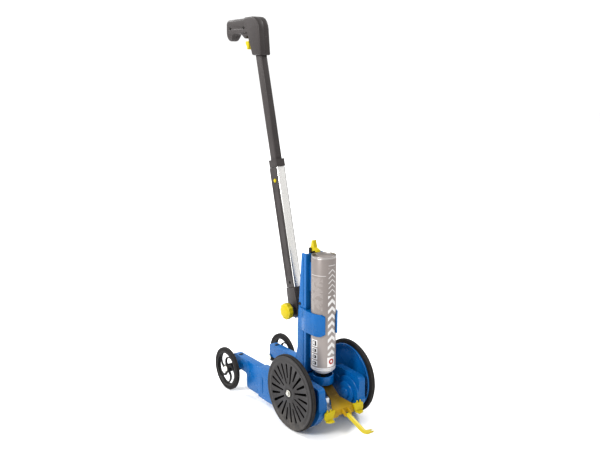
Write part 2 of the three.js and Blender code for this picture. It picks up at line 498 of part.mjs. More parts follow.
// ---------------------------------------------------------------- spray skirt, width guards and pointer
function spraySkirt() {
  const run = [[14, 105], [-24, 105], [-58, 83], [-93.4, 66], [-93.4, 46]];
  const under = [[-93.4 + SKIRT_T, 46], [-93.4 + SKIRT_T, 63.9], [-56.4, 80], [-23, 101.8], [14, 101.8]];
  const profile = alongX([...run, ...under].map(([u, v]) => new THREE.Vector2(u, v)), -40, 40);
  const plan = alongZ(rounded([[-15, 16], [-15, -60], [-36, -92], [-36, -96], [36, -96], [36, -92], [15, -60], [15, 16]], 1), 40, 110);
  const sprayHole = post(9.5, 90, 115, 0, CAN.y, 20);
  const arch = alongY(rounded([[-17, 40], [17, 40], [17, 50, 4], [-17, 50, 4]], 3), -100, -88);
  const lugs = [[-4.4, -1], [13, 16.4]].map(([x0, x1]) => alongX(rounded([[-107.5, 46.5, 3], [-92, 56], [-92, 65],
    [-99, 62], [-107.5, 54, 3]], 3), x0, x1));
  const pin = rod(1.6, -4.4, 16.4, POINTER.y, POINTER.z, 8);
  return join(cut(common(profile, plan), sprayHole, arch), ...lugs, pin);
}
add('spray_skirt', spraySkirt(), YELLOW);

// Width guard: a plate hooked over the skirt's front bar, with a foot and two pegs to push it by.
function widthGuard() {
  const plate = alongY(rounded([[39, 43, 2], [50, 41, 5], [63, 50, 5], [62, 69.4, 5], [30, 69.4, 2]], 3), GUARD_Y, GUARD_Y + 4.8);
  const roof = box(31, 58, GUARD_Y + 1, -92.9, 67, 69.4);
  const pegs = [44, 54].map((x) => post(2.1, 69, 75, x, -95.6, 8));
  const foot = alongZ(rounded([[40, -110, 3], [55, -109, 6], [61, GUARD_Y + 1], [39, GUARD_Y + 1]], 3), 44.4, 47.2);
  return join(plate, roof, foot, ...pegs);
}
addPair('width_guard', widthGuard(), YELLOW);

function pointer() {
  const run = [[POINTER.y - 3, POINTER.z + 2], [-170, 29.6], [POINTER.tipY, 28.6]];
  const low = [[POINTER.tipY, 25.4], [-170.6, 26.2], [POINTER.y - 3, POINTER.z - 2]];
  const strip = common(alongX([...run, ...low].map(([u, v]) => new THREE.Vector2(u, v)), -30, 50),
    alongZ(rounded([[-0.5, -104], [-0.5, -166, 4], [7, POINTER.tipY, 3], [30, POINTER.tipY, 3], [31, -169, 3], [12.5, -166, 4],
      [12.5, -104]], 3), 10, 80));
  const knuckle = rod(4.2, -0.5, 12.5, POINTER.y, POINTER.z, 14);
  return cut(join(strip, knuckle), rod(1.9, -5, 20, POINTER.y, POINTER.z, 10), post(2.4, 10, 60, 26, -173.5, 10));
}
add('pointer', pointer(), YELLOW);
add('pointer_rivet', post(2, 24.6, 29.6, 26, -173.5, 10), STEEL);
export default machine;
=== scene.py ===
import logging
import math
from dataclasses import dataclass
from enum import Enum
from typing import Protocol, Sequence

import bpy
from mathutils import Matrix, Vector


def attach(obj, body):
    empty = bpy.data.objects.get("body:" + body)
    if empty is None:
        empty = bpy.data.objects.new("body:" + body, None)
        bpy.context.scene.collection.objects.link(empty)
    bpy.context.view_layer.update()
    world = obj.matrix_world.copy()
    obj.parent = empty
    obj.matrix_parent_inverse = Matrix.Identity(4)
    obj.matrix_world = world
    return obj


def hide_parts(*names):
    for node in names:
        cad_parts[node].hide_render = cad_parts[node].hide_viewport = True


"""Looks of a wheeled line-marking applicator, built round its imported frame.

Lengths are in millimetres, measured from the front axle line and the ground, until mm() turns them into
the frame's metres. Each sub-assembly is a class; each finish is a frozen dataclass that builds its nodes.
"""

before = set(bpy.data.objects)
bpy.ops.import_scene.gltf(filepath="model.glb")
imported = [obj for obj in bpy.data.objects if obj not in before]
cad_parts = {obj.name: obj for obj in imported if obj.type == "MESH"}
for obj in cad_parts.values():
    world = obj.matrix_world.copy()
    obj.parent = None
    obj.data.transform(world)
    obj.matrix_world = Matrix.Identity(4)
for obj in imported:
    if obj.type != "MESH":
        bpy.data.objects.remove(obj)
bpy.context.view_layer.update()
logging.basicConfig(level=logging.INFO, format="%(message)s")
LOG = logging.getLogger("applicator")

# Millimetres, as (y, z) where there are two.
ORIGIN_Y = 122.0
FRONT_AXLE_Z = 100.0
REAR_AXLE = (316.0, 61.5)
PIVOT = (102.0, 280.0)
LEAN = math.atan(0.25)
CAN_Y = -8.7
TRIGGER_PIVOT = (316.0, 1010.0)

Point = tuple[float, float]
Colour = tuple[float, float, float]


class Side(Enum):
    """The two sides of the machine, as the sign of X."""

    LEFT = -1
    RIGHT = 1

    def node(self, stem: str) -> str:
        """Name of this side's copy of a paired CAD node."""
        return f"{stem}_{self.name.lower()}"


class Axis(Enum):
    """Axes that a shape is turned or pushed along."""

    X = (1.0, 0.0, 0.0)
    Y = (0.0, 1.0, 0.0)
    Z = (0.0, 0.0, 1.0)


def mm(x: float, y: float, z: float) -> Vector:
    """A point of the machine, in the frame's metres."""
    return Vector((x, y - ORIGIN_Y, z)) / 1000


def on_handle(x: float, y: float, w: float) -> Vector:
    """A point given along the leaning handle from its pivot, in the frame's metres."""
    return mm(x, PIVOT[0] + y * math.cos(LEAN) + w * math.sin(LEAN),
              PIVOT[1] - y * math.sin(LEAN) + w * math.cos(LEAN))


# ------------------------------------------------------------------ finishes
class Finish(Protocol):
    """What every finish offers: a name, and a way to build its material."""

    name: str

    def build(self) -> bpy.types.Material:
        """Makes the node material."""


class Graph:
    """A node material under construction, with short names for the nodes it needs."""

    def __init__(self, name: str) -> None:
        """Starts a material with a Principled shader and Object coordinates."""
        self.material = bpy.data.materials.new(name)
        self.material.use_nodes = True
        self.tree = self.material.node_tree
        self.shader = self.tree.nodes["Principled BSDF"]
        self.place = self.tree.nodes.new("ShaderNodeTexCoord").outputs["Object"]

    def put(self, socket: bpy.types.NodeSocket, value: object) -> None:
        """Links an output to a socket, or sets the socket's own value."""
        if isinstance(value, bpy.types.NodeSocket):
            self.tree.links.new(value, socket)
        else:
            socket.default_value = value

    def shade(self, **values: object) -> None:
        """Sets the shader's sockets; spaces in their names are written as underscores."""
        for key, value in values.items():
            self.put(self.shader.inputs[key.replace("_", " ")], value)

    def mapped(self, scale: Sequence[float] = (1, 1, 1), turn: Sequence[float] = (0, 0, 0),
               move: Sequence[float] = (0, 0, 0)) -> bpy.types.NodeSocket:
        """Object coordinates after a Mapping node."""
        node = self.tree.nodes.new("ShaderNodeMapping")
        self.put(node.inputs["Vector"], self.place)
        self.put(node.inputs["Location"], move)
        self.put(node.inputs["Rotation"], turn)
        self.put(node.inputs["Scale"], scale)
        return node.outputs["Vector"]

    def noise(self, scale: float, detail: float = 3.0, rough: float = 0.5,
              vector: bpy.types.NodeSocket | None = None) -> bpy.types.NodeSocket:
        """Noise with a scale in cycles a metre."""
        node = self.tree.nodes.new("ShaderNodeTexNoise")
        self.put(node.inputs["Vector"], vector or self.place)
        self.put(node.inputs["Scale"], scale)
        self.put(node.inputs["Detail"], detail)
        self.put(node.inputs["Roughness"], rough)
        return node.outputs["Fac"]

    def math(self, kind: str, a: object, b: object = 0.0, clamp: bool = False) -> bpy.types.NodeSocket:
        """One Math node."""
        node = self.tree.nodes.new("ShaderNodeMath")
        node.operation = kind
        node.use_clamp = clamp
        self.put(node.inputs[0], a)
        self.put(node.inputs[1], b)
        return node.outputs[0]

    def face_mark(self, name: str) -> bpy.types.NodeSocket:
        """A piece's own attribute."""
        node = self.tree.nodes.new("ShaderNodeAttribute")
        node.attribute_name = name
        return node.outputs["Fac"]

    def split(self, vector: bpy.types.NodeSocket | None = None) -> list[bpy.types.NodeSocket]:
        """The x, y and z of a vector."""
        node = self.tree.nodes.new("ShaderNodeSeparateXYZ")
        self.put(node.inputs[0], vector or self.place)
        return [node.outputs[i] for i in range(3)]

    def span(self, value: object, low: float, high: float, to_low: float = 0.0,
             to_high: float = 1.0) -> bpy.types.NodeSocket:
        """Maps low..high to to_low..to_high, held at the ends."""
        node = self.tree.nodes.new("ShaderNodeMapRange")
        for key, item in zip(("Value", "From Min", "From Max", "To Min", "To Max"),
                             (value, low, high, to_low, to_high)):
            self.put(node.inputs[key], item)
        return node.outputs["Result"]

    def mix(self, share: object, a: object, b: object) -> bpy.types.NodeSocket:
        """Mixes two colours."""
        node = self.tree.nodes.new("ShaderNodeMix")
        node.data_type = "RGBA"
        self.put(node.inputs["Factor"], share)
        self.put(node.inputs[6], (*a, 1.0) if isinstance(a, tuple) else a)
        self.put(node.inputs[7], (*b, 1.0) if isinstance(b, tuple) else b)
        return node.outputs[2]

    def bump(self, height: bpy.types.NodeSocket, depth: float, strength: float = 1.0,
             under: bpy.types.NodeSocket | None = None) -> bpy.types.NodeSocket:
        """A bump of a real depth in millimetres."""
        node = self.tree.nodes.new("ShaderNodeBump")
        self.put(node.inputs["Height"], height)
        self.put(node.inputs["Distance"], depth / 1000)
        self.put(node.inputs["Strength"], strength)
        if under is not None:
            self.put(node.inputs["Normal"], under)
        return node.outputs["Normal"]

    def patch(self, value: bpy.types.NodeSocket, low: float, high: float,
              soft: float) -> bpy.types.NodeSocket:
        """1 where value lies between low and high, with soft edges."""
        return self.math("MULTIPLY", self.span(value, low - soft, low + soft),
                         self.span(value, high - soft, high + soft, 1.0, 0.0))

    def any_of(self, masks: Sequence[bpy.types.NodeSocket]) -> bpy.types.NodeSocket:
        """The highest of several masks."""
        result = masks[0]
        for mask in masks[1:]:
            result = self.math("MAXIMUM", result, mask)
        return result


def scaled(colour: Colour, k: float) -> Colour:
    """A colour made k times as bright."""
    return tuple(min(1.0, channel * k) for channel in colour)


@dataclass(frozen=True)
class MouldedPlastic:
    """Injection-moulded plastic: faint flow marks, moulded grain, handling scuffs, ground dust, edges
    lightened by wear and painted highlight, optional painted shade.
    """

    name: str
    colour: Colour
    roughness: float
    grain: float = 1100.0
    grain_depth: float = 0.05
    scuffs: float = 0.35
    dust: float = 0.25
    sheen: float = 0.5
    # Colour of painted shade laid over the rear part, under the can, or None for no shade.
    painted_shade: Colour | None = None

    def build(self) -> bpy.types.Material:
        """Makes the node material."""
        g = Graph(self.name)
        flow = g.noise(14.0, 2.0)
        tone = g.mix(g.span(flow, 0.35, 0.65), scaled(self.colour, 0.93), scaled(self.colour, 1.06))
        # Painted shade: from y -0.203 m to -0.160 m the tone darkens to the given shade colour, for the
        # part lying in shade under the can.
        if self.painted_shade:
            along = g.math("ADD", g.split()[1], g.math("MULTIPLY", flow, 0.02))
            tone = g.mix(g.span(along, -0.203, -0.160), tone, self.painted_shade)
        streak = g.noise(60.0, 4.0, 0.6, g.mapped(scale=(1.0, 1.0, 6.0), turn=(0.5, 0.3, 0.9)))
        scuff = g.math("MULTIPLY", g.span(streak, 0.62, 0.72), self.scuffs, clamp=True)
        # Rounded edges are lightened, partly as wear and partly as painted highlight; the streaked scuffs
        # are wear.
        patchy = g.span(g.noise(160.0, 4.0, 0.7), 0.4, 0.62, 0.15, 0.75)
        rim = g.math("MULTIPLY", g.face_mark("edge"), patchy)
        pale = scaled(tuple(0.72 * c + 0.06 for c in self.colour), 1.35)
        worn = g.mix(g.math("MAXIMUM", scuff, g.math("MULTIPLY", rim, 0.6)), tone, pale)
        height = g.split()[2]
        dirt = g.math("MULTIPLY", g.span(height, 0.0, 0.06, self.dust, 0.0),
                      g.span(g.noise(45.0, 5.0, 0.65), 0.35, 0.7))
        g.shade(Base_Color=g.mix(dirt, worn, (0.42, 0.38, 0.33)))
        fine = g.noise(self.grain, 2.0, 0.6)
        rough = g.span(g.noise(30.0, 3.0), 0.3, 0.7, self.roughness - 0.05, self.roughness + 0.07)
        g.shade(Roughness=g.math("ADD", rough, g.math("MULTIPLY", g.math("ADD", scuff, dirt), 0.25)))
        g.shade(Normal=g.bump(fine, self.grain_depth, 0.6, g.bump(flow, 0.25, 0.25)),
                Specular_IOR_Level=self.sheen)
        return g.material


@dataclass(frozen=True)
class MouldedRubber:
    """Rubber tyre about an axle: dark flanks, a greyer worn tread, dust in the grain."""

    name: str
    axle: Point
    radius: float
    colour: Colour = (0.016, 0.0145, 0.014)

    def build(self) -> bpy.types.Material:
        """Makes the node material."""
        g = Graph(self.name)
        _, y, z = g.split()
        dy = g.math("SUBTRACT", y, (self.axle[0] - ORIGIN_Y) / 1000)
        dz = g.math("SUBTRACT", z, self.axle[1] / 1000)
        radial = g.math("SQRT", g.math("ADD", g.math("MULTIPLY", dy, dy), g.math("MULTIPLY", dz, dz)))
        tread = g.span(radial, (self.radius - 2.2) / 1000, (self.radius - 0.2) / 1000)
        mottle = g.span(g.noise(70.0, 5.0, 0.65), 0.3, 0.7)
        worn = g.math("MULTIPLY", tread, g.math("MULTIPLY", mottle, 0.55))
        base = g.mix(mottle, scaled(self.colour, 0.85), scaled(self.colour, 1.3))
        g.shade(Base_Color=g.mix(worn, base, (0.060, 0.056, 0.052)))
        g.shade(Roughness=g.span(mottle, 0.0, 1.0, 0.62, 0.85))
        g.shade(Normal=g.bump(g.noise(900.0, 3.0, 0.6), 0.09, 0.7), Specular_IOR_Level=0.22)
        return g.material


@dataclass(frozen=True)
class BrushedMetal:
    """Bare metal brushed or drawn along one direction."""

    name: str
    colour: Colour
    roughness: float
    lean: float = 0.0
    along: Axis = Axis.Z
    lines: float = 900.0

    def build(self) -> bpy.types.Material:
        """Makes the node material."""
        g = Graph(self.name)
        stretch = tuple(0.02 if a else 1.0 for a in self.along.value)
        lines = g.noise(self.lines, 4.0, 0.7, g.mapped(scale=stretch, turn=(self.lean, 0.0, 0.0)))
        cloud = g.noise(35.0, 4.0, 0.6)
        tone = g.mix(g.span(lines, 0.3, 0.7), scaled(self.colour, 0.9), scaled(self.colour, 1.06))
        g.shade(Base_Color=g.mix(g.span(cloud, 0.55, 0.75, 0.0, 0.35), tone, scaled(self.colour, 0.82)),
                Metallic=1.0)
        rough = g.span(lines, 0.3, 0.7, self.roughness - 0.06, self.roughness + 0.10)
        g.shade(Roughness=g.math("ADD", rough, g.span(cloud, 0.5, 0.8, 0.0, 0.1)))
        g.shade(Normal=g.bump(lines, 0.02, 0.5))
        return g.material


@dataclass(frozen=True)
class PrintedTin:
    """Satin metallic print on the can: a warm grey field, pale rules and arrows, small plain panels."""

    name: str = "printed_tin"
    radius: float = 32.5
    field_colour: Colour = (0.235, 0.208, 0.196)

    def build(self) -> bpy.types.Material:
        """Makes the node material. u runs round the can from its front, v up it, both in millimetres."""
        g = Graph(self.name)
        x, y, z = g.split()
        back = g.math("SUBTRACT", g.math("MULTIPLY", y, -1.0), (ORIGIN_Y - CAN_Y) / 1000)
        u = g.math("MULTIPLY", g.math("ARCTAN2", x, back), self.radius)
        v = g.math("MULTIPLY", z, 1000.0)

        def panel(u0: float, u1: float, v0: float, v1: float, soft: float = 0.25) -> bpy.types.NodeSocket:
            """A rectangle on the can's side."""
            return g.math("MULTIPLY", g.patch(u, u0, u1, soft), g.patch(v, v0, v1, soft))

        def disc(u0: float, v0: float, r: float) -> bpy.types.NodeSocket:
            """A round spot on the can's side."""
            du = g.math("SUBTRACT", u, u0)
            dv = g.math("SUBTRACT", v, v0)
            far = g.math("SQRT", g.math("ADD", g.math("MULTIPLY", du, du), g.math("MULTIPLY", dv, dv)))
            return g.span(far, r - 0.3, r + 0.3, 1.0, 0.0)

        cloud = g.noise(8.0, 2.0)
        spots = g.noise(220.0, 4.0, 0.7)
        ground = g.mix(g.span(cloud, 0.3, 0.7), scaled(self.field_colour, 0.94),
                       scaled(self.field_colour, 1.08))
        ground = g.mix(g.span(v, 170.0, 300.0, 0.3, 0.0), ground, (0.50, 0.46, 0.44))
        chevron = g.math("ADD", v, g.math("MULTIPLY", g.math("ABSOLUTE", g.math("SUBTRACT", u, 2.0)), 0.9))
        bold = g.math("MULTIPLY", g.patch(g.math("MODULO", chevron, 19.5), 3.0, 12.5, 0.3),
                      panel(-10.0, 14.0, 192.0, 352.0))
        thin = g.math("MULTIPLY", g.patch(g.math("MODULO", chevron, 13.0), 3.0, 5.6, 0.3),
                      panel(-9.0, 13.0, 356.0, 424.0))
        rules = g.any_of([panel(-9.0, 13.0, 430.0, 431.4), panel(-62.0, -16.0, 404.0, 404.9),
                          panel(-62.0, -16.0, 262.0, 262.9)])
        colour = g.mix(g.any_of([bold, thin, rules]), ground, (0.62, 0.61, 0.60))
        colour = g.mix(panel(-11.0, 13.0, 161.0, 187.0), colour, (0.70, 0.68, 0.67))
        colour = g.mix(disc(1.0, 175.0, 7.6), colour, (0.36, 0.045, 0.030))
        colour = g.mix(disc(1.0, 175.0, 3.4), colour, (0.70, 0.68, 0.67))
        for low, tall in ((163.0, 14.0), (181.0, 13.0), (198.0, 13.0), (215.0, 18.0)):
            colour = g.mix(panel(-57.0, -38.0, low, low + tall), colour, (0.74, 0.74, 0.73))
            colour = g.mix(panel(-54.5, -40.5, low + 2.4, low + tall - 2.4), colour, (0.060, 0.055, 0.055))
            colour = g.mix(panel(-52.0, -46.0, low + 4.4, low + tall - 4.4), colour, (0.60, 0.59, 0.58))
        small = g.patch(g.math("MODULO", v, 3.2), 0.5, 1.6, 0.2)
        lines = g.math("MULTIPLY", small, g.math("MULTIPLY", panel(-60.0, -24.0, 312.0, 398.0),
                                                 g.span(g.noise(90.0, 1.0), 0.42, 0.46)))
        colour = g.mix(g.math("MULTIPLY", lines, 0.3), colour, (0.62, 0.60, 0.58))
        top, foot = g.span(v, 446.4, 446.9), g.span(v, 158.2, 158.7, 1.0, 0.0)
        colour = g.mix(foot, g.mix(top, colour, (0.36, 0.34, 0.33)), (0.58, 0.57, 0.57))
        g.shade(Base_Color=colour, Metallic=g.span(top, 0.0, 1.0, 0.25, 0.95))
        g.shade(Roughness=g.span(spots, 0.3, 0.7, 0.30, 0.42))
        g.shade(Normal=g.bump(g.noise(26.0, 2.0), 0.12, 0.4))
        return g.material


@dataclass(frozen=True)
class StudioFloor:
    """Plain pale floor."""

    name: str = "studio_floor"

    def build(self) -> bpy.types.Material:
        """Makes the node material."""
        g = Graph(self.name)
        g.shade(Base_Color=(0.93, 0.93, 0.935, 1.0), Roughness=0.55, Specular_IOR_Level=0.25)
        return g.material


BLUE = MouldedPlastic("blue_moulding", (0.001, 0.106, 0.308), 0.26, scuffs=0.10, dust=0.12, sheen=0.32)
YELLOW = MouldedPlastic("yellow_moulding", (0.450, 0.365, 0.004), 0.36, scuffs=0.15, sheen=0.25)
# Painted shade: a darker, browner copy of the yellow for the skirt, which lies in shade under the can,
# darkest towards the can.
SHADED_YELLOW = MouldedPlastic("shaded_yellow_moulding", (0.360, 0.230, 0.005), 0.42, scuffs=0.3, sheen=0.22,
                       painted_shade=(0.110, 0.065, 0.006))
DARK = MouldedPlastic("dark_grey_moulding", (0.044, 0.038, 0.037), 0.42, grain=800.0, grain_depth=0.09,
                      scuffs=0.35, sheen=0.30)
CAP_GREY = MouldedPlastic("hub_cap_moulding", (0.036, 0.034, 0.034), 0.45, grain=700.0, grain_depth=0.09,
                          scuffs=0.45, sheen=0.25)
BLACK = MouldedPlastic("black_moulding", (0.011, 0.0105, 0.010), 0.5, grain_depth=0.06, scuffs=0.15,
                       dust=0.1, sheen=0.25)
# Painted shade: a matt near-black for the disc behind the hub cap's slots, making them look deep.
SLOT_SHADE = MouldedPlastic("slot_shade_black", (0.002, 0.002, 0.002), 0.9, grain_depth=0.04, scuffs=0.05, dust=0.0,
                       sheen=0.04)
TUBE_METAL = BrushedMetal("brushed_tube", (0.74, 0.73, 0.71), 0.25, lean=LEAN)
ZINC = BrushedMetal("zinc_plate", (0.66, 0.65, 0.60), 0.33, lines=300.0)
SPRING_STEEL = BrushedMetal("spring_wire", (0.55, 0.55, 0.56), 0.3)
BLACKENED = BrushedMetal("blackened_steel", (0.06, 0.058, 0.056), 0.45, lines=300.0)
TIN = PrintedTin()
WHITE_TIN = MouldedPlastic("white_lacquer", (0.60, 0.59, 0.60), 0.28, scuffs=0.1, dust=0.0, sheen=0.4)
FRONT_RUBBER = MouldedRubber("front_rubber", (0.0, FRONT_AXLE_Z), 100.0)
REAR_RUBBER = MouldedRubber("rear_rubber", REAR_AXLE, 61.5)
CABLE_SHEATH = MouldedPlastic("cable_sheath", (0.03, 0.03, 0.03), 0.45)


# ------------------------------------------------------------------ bench tools
def select_none() -> None:
    """Leaves edit mode and selects nothing."""
    if bpy.context.object is not None and bpy.context.object.mode != "OBJECT":
        bpy.ops.object.mode_set(mode="OBJECT")
    bpy.ops.object.select_all(action="DESELECT")


def focus(piece: bpy.types.Object) -> bpy.types.Object:
    """Selects one piece only and makes it active."""
    select_none()
    piece.select_set(True)
    bpy.context.view_layer.objects.active = piece
    return piece


def edit_all(piece: bpy.types.Object) -> None:
    """Enters edit mode on a piece with everything selected."""
    focus(piece)
    bpy.ops.object.mode_set(mode="EDIT")
    bpy.ops.mesh.select_all(action="SELECT")


def tidy(piece: bpy.types.Object, merge: float = 0.01) -> bpy.types.Object:
    """Merges doubles (mm), drops loose edges and turns the faces outward."""
    edit_all(piece)
    bpy.ops.mesh.remove_doubles(threshold=merge / 1000)
    bpy.ops.mesh.delete_loose(use_verts=True, use_edges=True, use_faces=False)
    bpy.ops.mesh.select_all(action="SELECT")
    bpy.ops.mesh.normals_make_consistent(inside=False)
    bpy.ops.object.mode_set(mode="OBJECT")
    return piece


def outline(name: str, corners: Sequence[Vector]) -> bpy.types.Object:
    """A closed loop of edges: a circle whose corners are put in their places.

    Args:
        name: the new object's name.
        corners: the loop's corners in order, in the frame's metres.

    Returns:
        The loop, as an object at the origin.
    """
    select_none()
    bpy.ops.mesh.primitive_circle_add(vertices=len(corners), radius=0.01, fill_type="NOTHING")
    loop = bpy.context.object
    loop.name = name
    for vertex, corner in zip(loop.data.vertices, corners):
        vertex.co = corner
    return loop


def pushed(name: str, corners: Sequence[Vector], push: Vector) -> bpy.types.Object:
    """Fills an outline and extrudes it.

    Args:
        name: the piece's name.
        corners: the outline's corners.
        push: how far and which way it is extruded, in metres.

    Returns:
        The closed solid.
    """
    loop = outline(name, corners)
    edit_all(loop)
    bpy.ops.mesh.edge_face_add()
    bpy.ops.mesh.extrude_region_move(TRANSFORM_OT_translate={"value": push})
    return tidy(loop)


def turned(name: str, profile: Sequence[Point], centre: Vector, axis: Axis,
           steps: int = 96) -> bpy.types.Object:
    """Spins a closed (radius, distance along the axis) profile into a solid.

    Args:
        name: the piece's name.
        profile: corners in millimetres; a corner of radius 0 lies on the axis.
        centre: a point of the axis, from which the distances are measured, in metres.
        axis: the axis of turning.
        steps: facets round the axis.

    Returns:
        The closed solid.
    """
    along = Vector(axis.value)
    out = Vector((0, 0, 1)) if axis is not Axis.Z else Vector((0, -1, 0))
    loop = outline(name, [centre + out * (r / 1000) + along * (a / 1000) for r, a in profile])
    edit_all(loop)
    bpy.ops.mesh.spin(steps=steps, angle=2 * math.pi, center=centre, axis=along)
    return tidy(loop)


def rounded(corners: Sequence[tuple[float, ...]], steps: int = 5) -> list[Point]:
    """Rounds the corners (u, v, radius) of an outline; corners without a radius stay sharp."""
    points: list[Point] = []
    count = len(corners)
    for i, corner in enumerate(corners):
        here = Vector(corner[:2])
        radius = corner[2] if len(corner) > 2 else 0.0
        if not radius:
            points.append((here.x, here.y))
            continue
        before, after = Vector(corners[i - 1][:2]) - here, Vector(corners[(i + 1) % count][:2]) - here
        reach = min(radius, 0.48 * before.length, 0.48 * after.length)
        start, end = here + before.normalized() * reach, here + after.normalized() * reach
        for k in range(steps + 1):
            t = k / steps
            at = start * (1 - t) ** 2 + here * 2 * t * (1 - t) + end * t * t
            points.append((at.x, at.y))
    return points


def rectangle(u0: float, u1: float, v0: float, v1: float, radius: float = 0.0,
              steps: int = 5) -> list[Point]:
    """A rectangle with rounded corners."""
    return rounded([(u0, v0, radius), (u1, v0, radius), (u1, v1, radius), (u0, v1, radius)], steps)


def oval(u: float, v: float, radius_u: float, radius_v: float, count: int = 32) -> list[Point]:
    """Points of an ellipse."""
    turns = [2 * math.pi * i / count for i in range(count)]
    return [(u + radius_u * math.cos(a), v + radius_v * math.sin(a)) for a in turns]


def circle(u: float, v: float, radius: float, count: int = 32) -> list[Point]:
    """Points of a circle."""
    return oval(u, v, radius, radius, count)


def across(name: str, points: Sequence[Point], x0: float, x1: float) -> bpy.types.Object:
    """Extrudes a (y, z) outline across the machine, from x0 to x1."""
    return pushed(name, [mm(x0, y, z) for y, z in points], Vector(((x1 - x0) / 1000, 0, 0)))


def upward(name: str, points: Sequence[Point], z0: float, z1: float) -> bpy.types.Object:
    """Extrudes an (x, y) outline from z0 up to z1."""
    return pushed(name, [mm(x, y, z0) for x, y in points], Vector((0, 0, (z1 - z0) / 1000)))


def forward(name: str, points: Sequence[Point], y0: float, y1: float) -> bpy.types.Object:
    """Extrudes an (x, z) outline from y0 to y1."""
    return pushed(name, [mm(x, y0, z) for x, z in points], Vector((0, (y1 - y0) / 1000, 0)))


def along_handle(name: str, points: Sequence[Point], w0: float, w1: float) -> bpy.types.Object:
    """Extrudes an (x, y) outline along the leaning handle, from w0 to w1."""
    return pushed(name, [on_handle(x, y, w0) for x, y in points], on_handle(0, 0, w1) - on_handle(0, 0, w0))


def on_handle_across(name: str, points: Sequence[Point], x0: float, x1: float) -> bpy.types.Object:
    """Extrudes an outline of the handle's (y, w) plane from x0 to x1."""
    return pushed(name, [on_handle(x0, y, w) for y, w in points], Vector(((x1 - x0) / 1000, 0, 0)))


def apply(piece: bpy.types.Object, kind: str, **settings: object) -> bpy.types.Object:
    """Adds a modifier, sets it and applies it."""
    focus(piece)
    modifier = piece.modifiers.new("step", kind)
    for key, value in settings.items():
        setattr(modifier, key, value)
    bpy.ops.object.modifier_apply(modifier=modifier.name)
    return piece


def carve(piece: bpy.types.Object, *tools: bpy.types.Object) -> bpy.types.Object:
    """Cuts tools out of a piece and removes them."""
    for tool in tools:
        apply(piece, "BOOLEAN", operation="DIFFERENCE", solver="EXACT", object=tool)
        bpy.data.objects.remove(tool)
    return piece


def fuse(piece: bpy.types.Object, *others: bpy.types.Object) -> bpy.types.Object:
    """Unites other solids with a piece and removes them."""
    for other in others:
        apply(piece, "BOOLEAN", operation="UNION", solver="EXACT", object=other)
        bpy.data.objects.remove(other)
    return piece


def keep_inside(piece: bpy.types.Object, bound: bpy.types.Object) -> bpy.types.Object:
    """Keeps what lies inside a bounding solid, and removes that solid."""
    apply(piece, "BOOLEAN", operation="INTERSECT", solver="EXACT", object=bound)
    bpy.data.objects.remove(bound)
    return piece


def bevel(piece: bpy.types.Object, width: float, segments: int, angle: float,
          mark: int = -1) -> bpy.types.Object:
    """Rounds the edges sharper than an angle.

    Args:
        piece: the solid.
        width: width of the rounding, in millimetres.
        segments: faces across the rounding.
        angle: edges sharper than this many degrees are rounded.
        mark: material index given to the new faces, or -1 to leave it alone.

    Returns:
        The same piece.
    """
    return apply(piece, "BEVEL", width=width / 1000, segments=segments, limit_method="ANGLE",
                 angle_limit=math.radians(angle), material=mark)


def gathered(name: str, pieces: Sequence[bpy.types.Object]) -> bpy.types.Object:
    """Joins separate shells into one object."""
    focus(pieces[0])
    for piece in pieces:
        piece.select_set(True)
    if len(pieces) > 1:
        bpy.ops.object.join()
    pieces[0].name = name
    return pieces[0]


def repeated(piece: bpy.types.Object, count: int, centre: Vector, axis: Axis,
             sweep: float = 2 * math.pi) -> bpy.types.Object:
    """Copies a piece round an axis inside its own mesh, count times in all."""
    edit_all(piece)
    bpy.ops.mesh.spin(steps=count - 1, dupli=True, angle=sweep * (count - 1) / count, center=centre,
                      axis=Vector(axis.value))
    return tidy(piece)


def soften(piece: bpy.types.Object, width: float = 0.7, segments: int = 3,
           angle: float = 34.0) -> bpy.types.Object:
    """Rounds the sharp edges, marks the rounded faces to be lightened as wear and painted highlight, and
    smooths the rest.

    Args:
        piece: the solid.
        width: width of the rounding, in millimetres.
        segments: faces across the rounding.
        angle: edges sharper than this many degrees are rounded.

    Returns:
        The same piece, with a face attribute "edge" that is 1 on its rounded edges.
    """
    while len(piece.data.materials) < 2:
        piece.data.materials.append(None)
    for face in piece.data.polygons:
        face.material_index = 0
    if width:
        bevel(piece, width, segments, angle, mark=1)
    mark = piece.data.attributes.new("edge", "FLOAT", "FACE")
    for item, face in zip(mark.data, piece.data.polygons):
        item.value = float(face.material_index == 1)
        face.material_index = 0
    piece.data.materials.clear()
    focus(piece)
    bpy.ops.object.shade_smooth_by_angle(angle=math.radians(40.0))
    return piece


def from_node(node: str, name: str) -> bpy.types.Object:
    """Copies a CAD node's mesh, merged and with its flat faces made whole."""
    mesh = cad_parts[node].data.copy()
    mesh.materials.clear()
    piece = bpy.data.objects.new(name, mesh)
    bpy.context.scene.collection.objects.link(piece)
    for layer in [a.name for a in mesh.attributes if a.name == "custom_normal"]:
        mesh.attributes.remove(mesh.attributes[layer])
    edit_all(piece)
    bpy.ops.mesh.remove_doubles(threshold=0.00002)
    bpy.ops.mesh.dissolve_limited(angle_limit=math.radians(1.0))
    bpy.ops.object.mode_set(mode="OBJECT")
    return piece


def other_side(piece: bpy.types.Object, name: str) -> bpy.types.Object:
    """The mirrored copy of a piece, on the other side of the machine, with its own mesh."""
    twin = bpy.data.objects.new(name, piece.data.copy())
    bpy.context.scene.collection.objects.link(twin)
    edit_all(twin)
    bpy.ops.transform.resize(value=(-1, 1, 1), center_override=(0, 0, 0))
    bpy.ops.mesh.flip_normals()
    bpy.ops.object.mode_set(mode="OBJECT")
    return twin


def on_side(piece: bpy.types.Object, side: Side) -> bpy.types.Object:
    """The piece itself on the right, or its mirrored copy in its place on the left."""
    if side is Side.RIGHT:
        return piece
    twin = other_side(piece, piece.name)
    bpy.data.objects.remove(piece)
    return twin


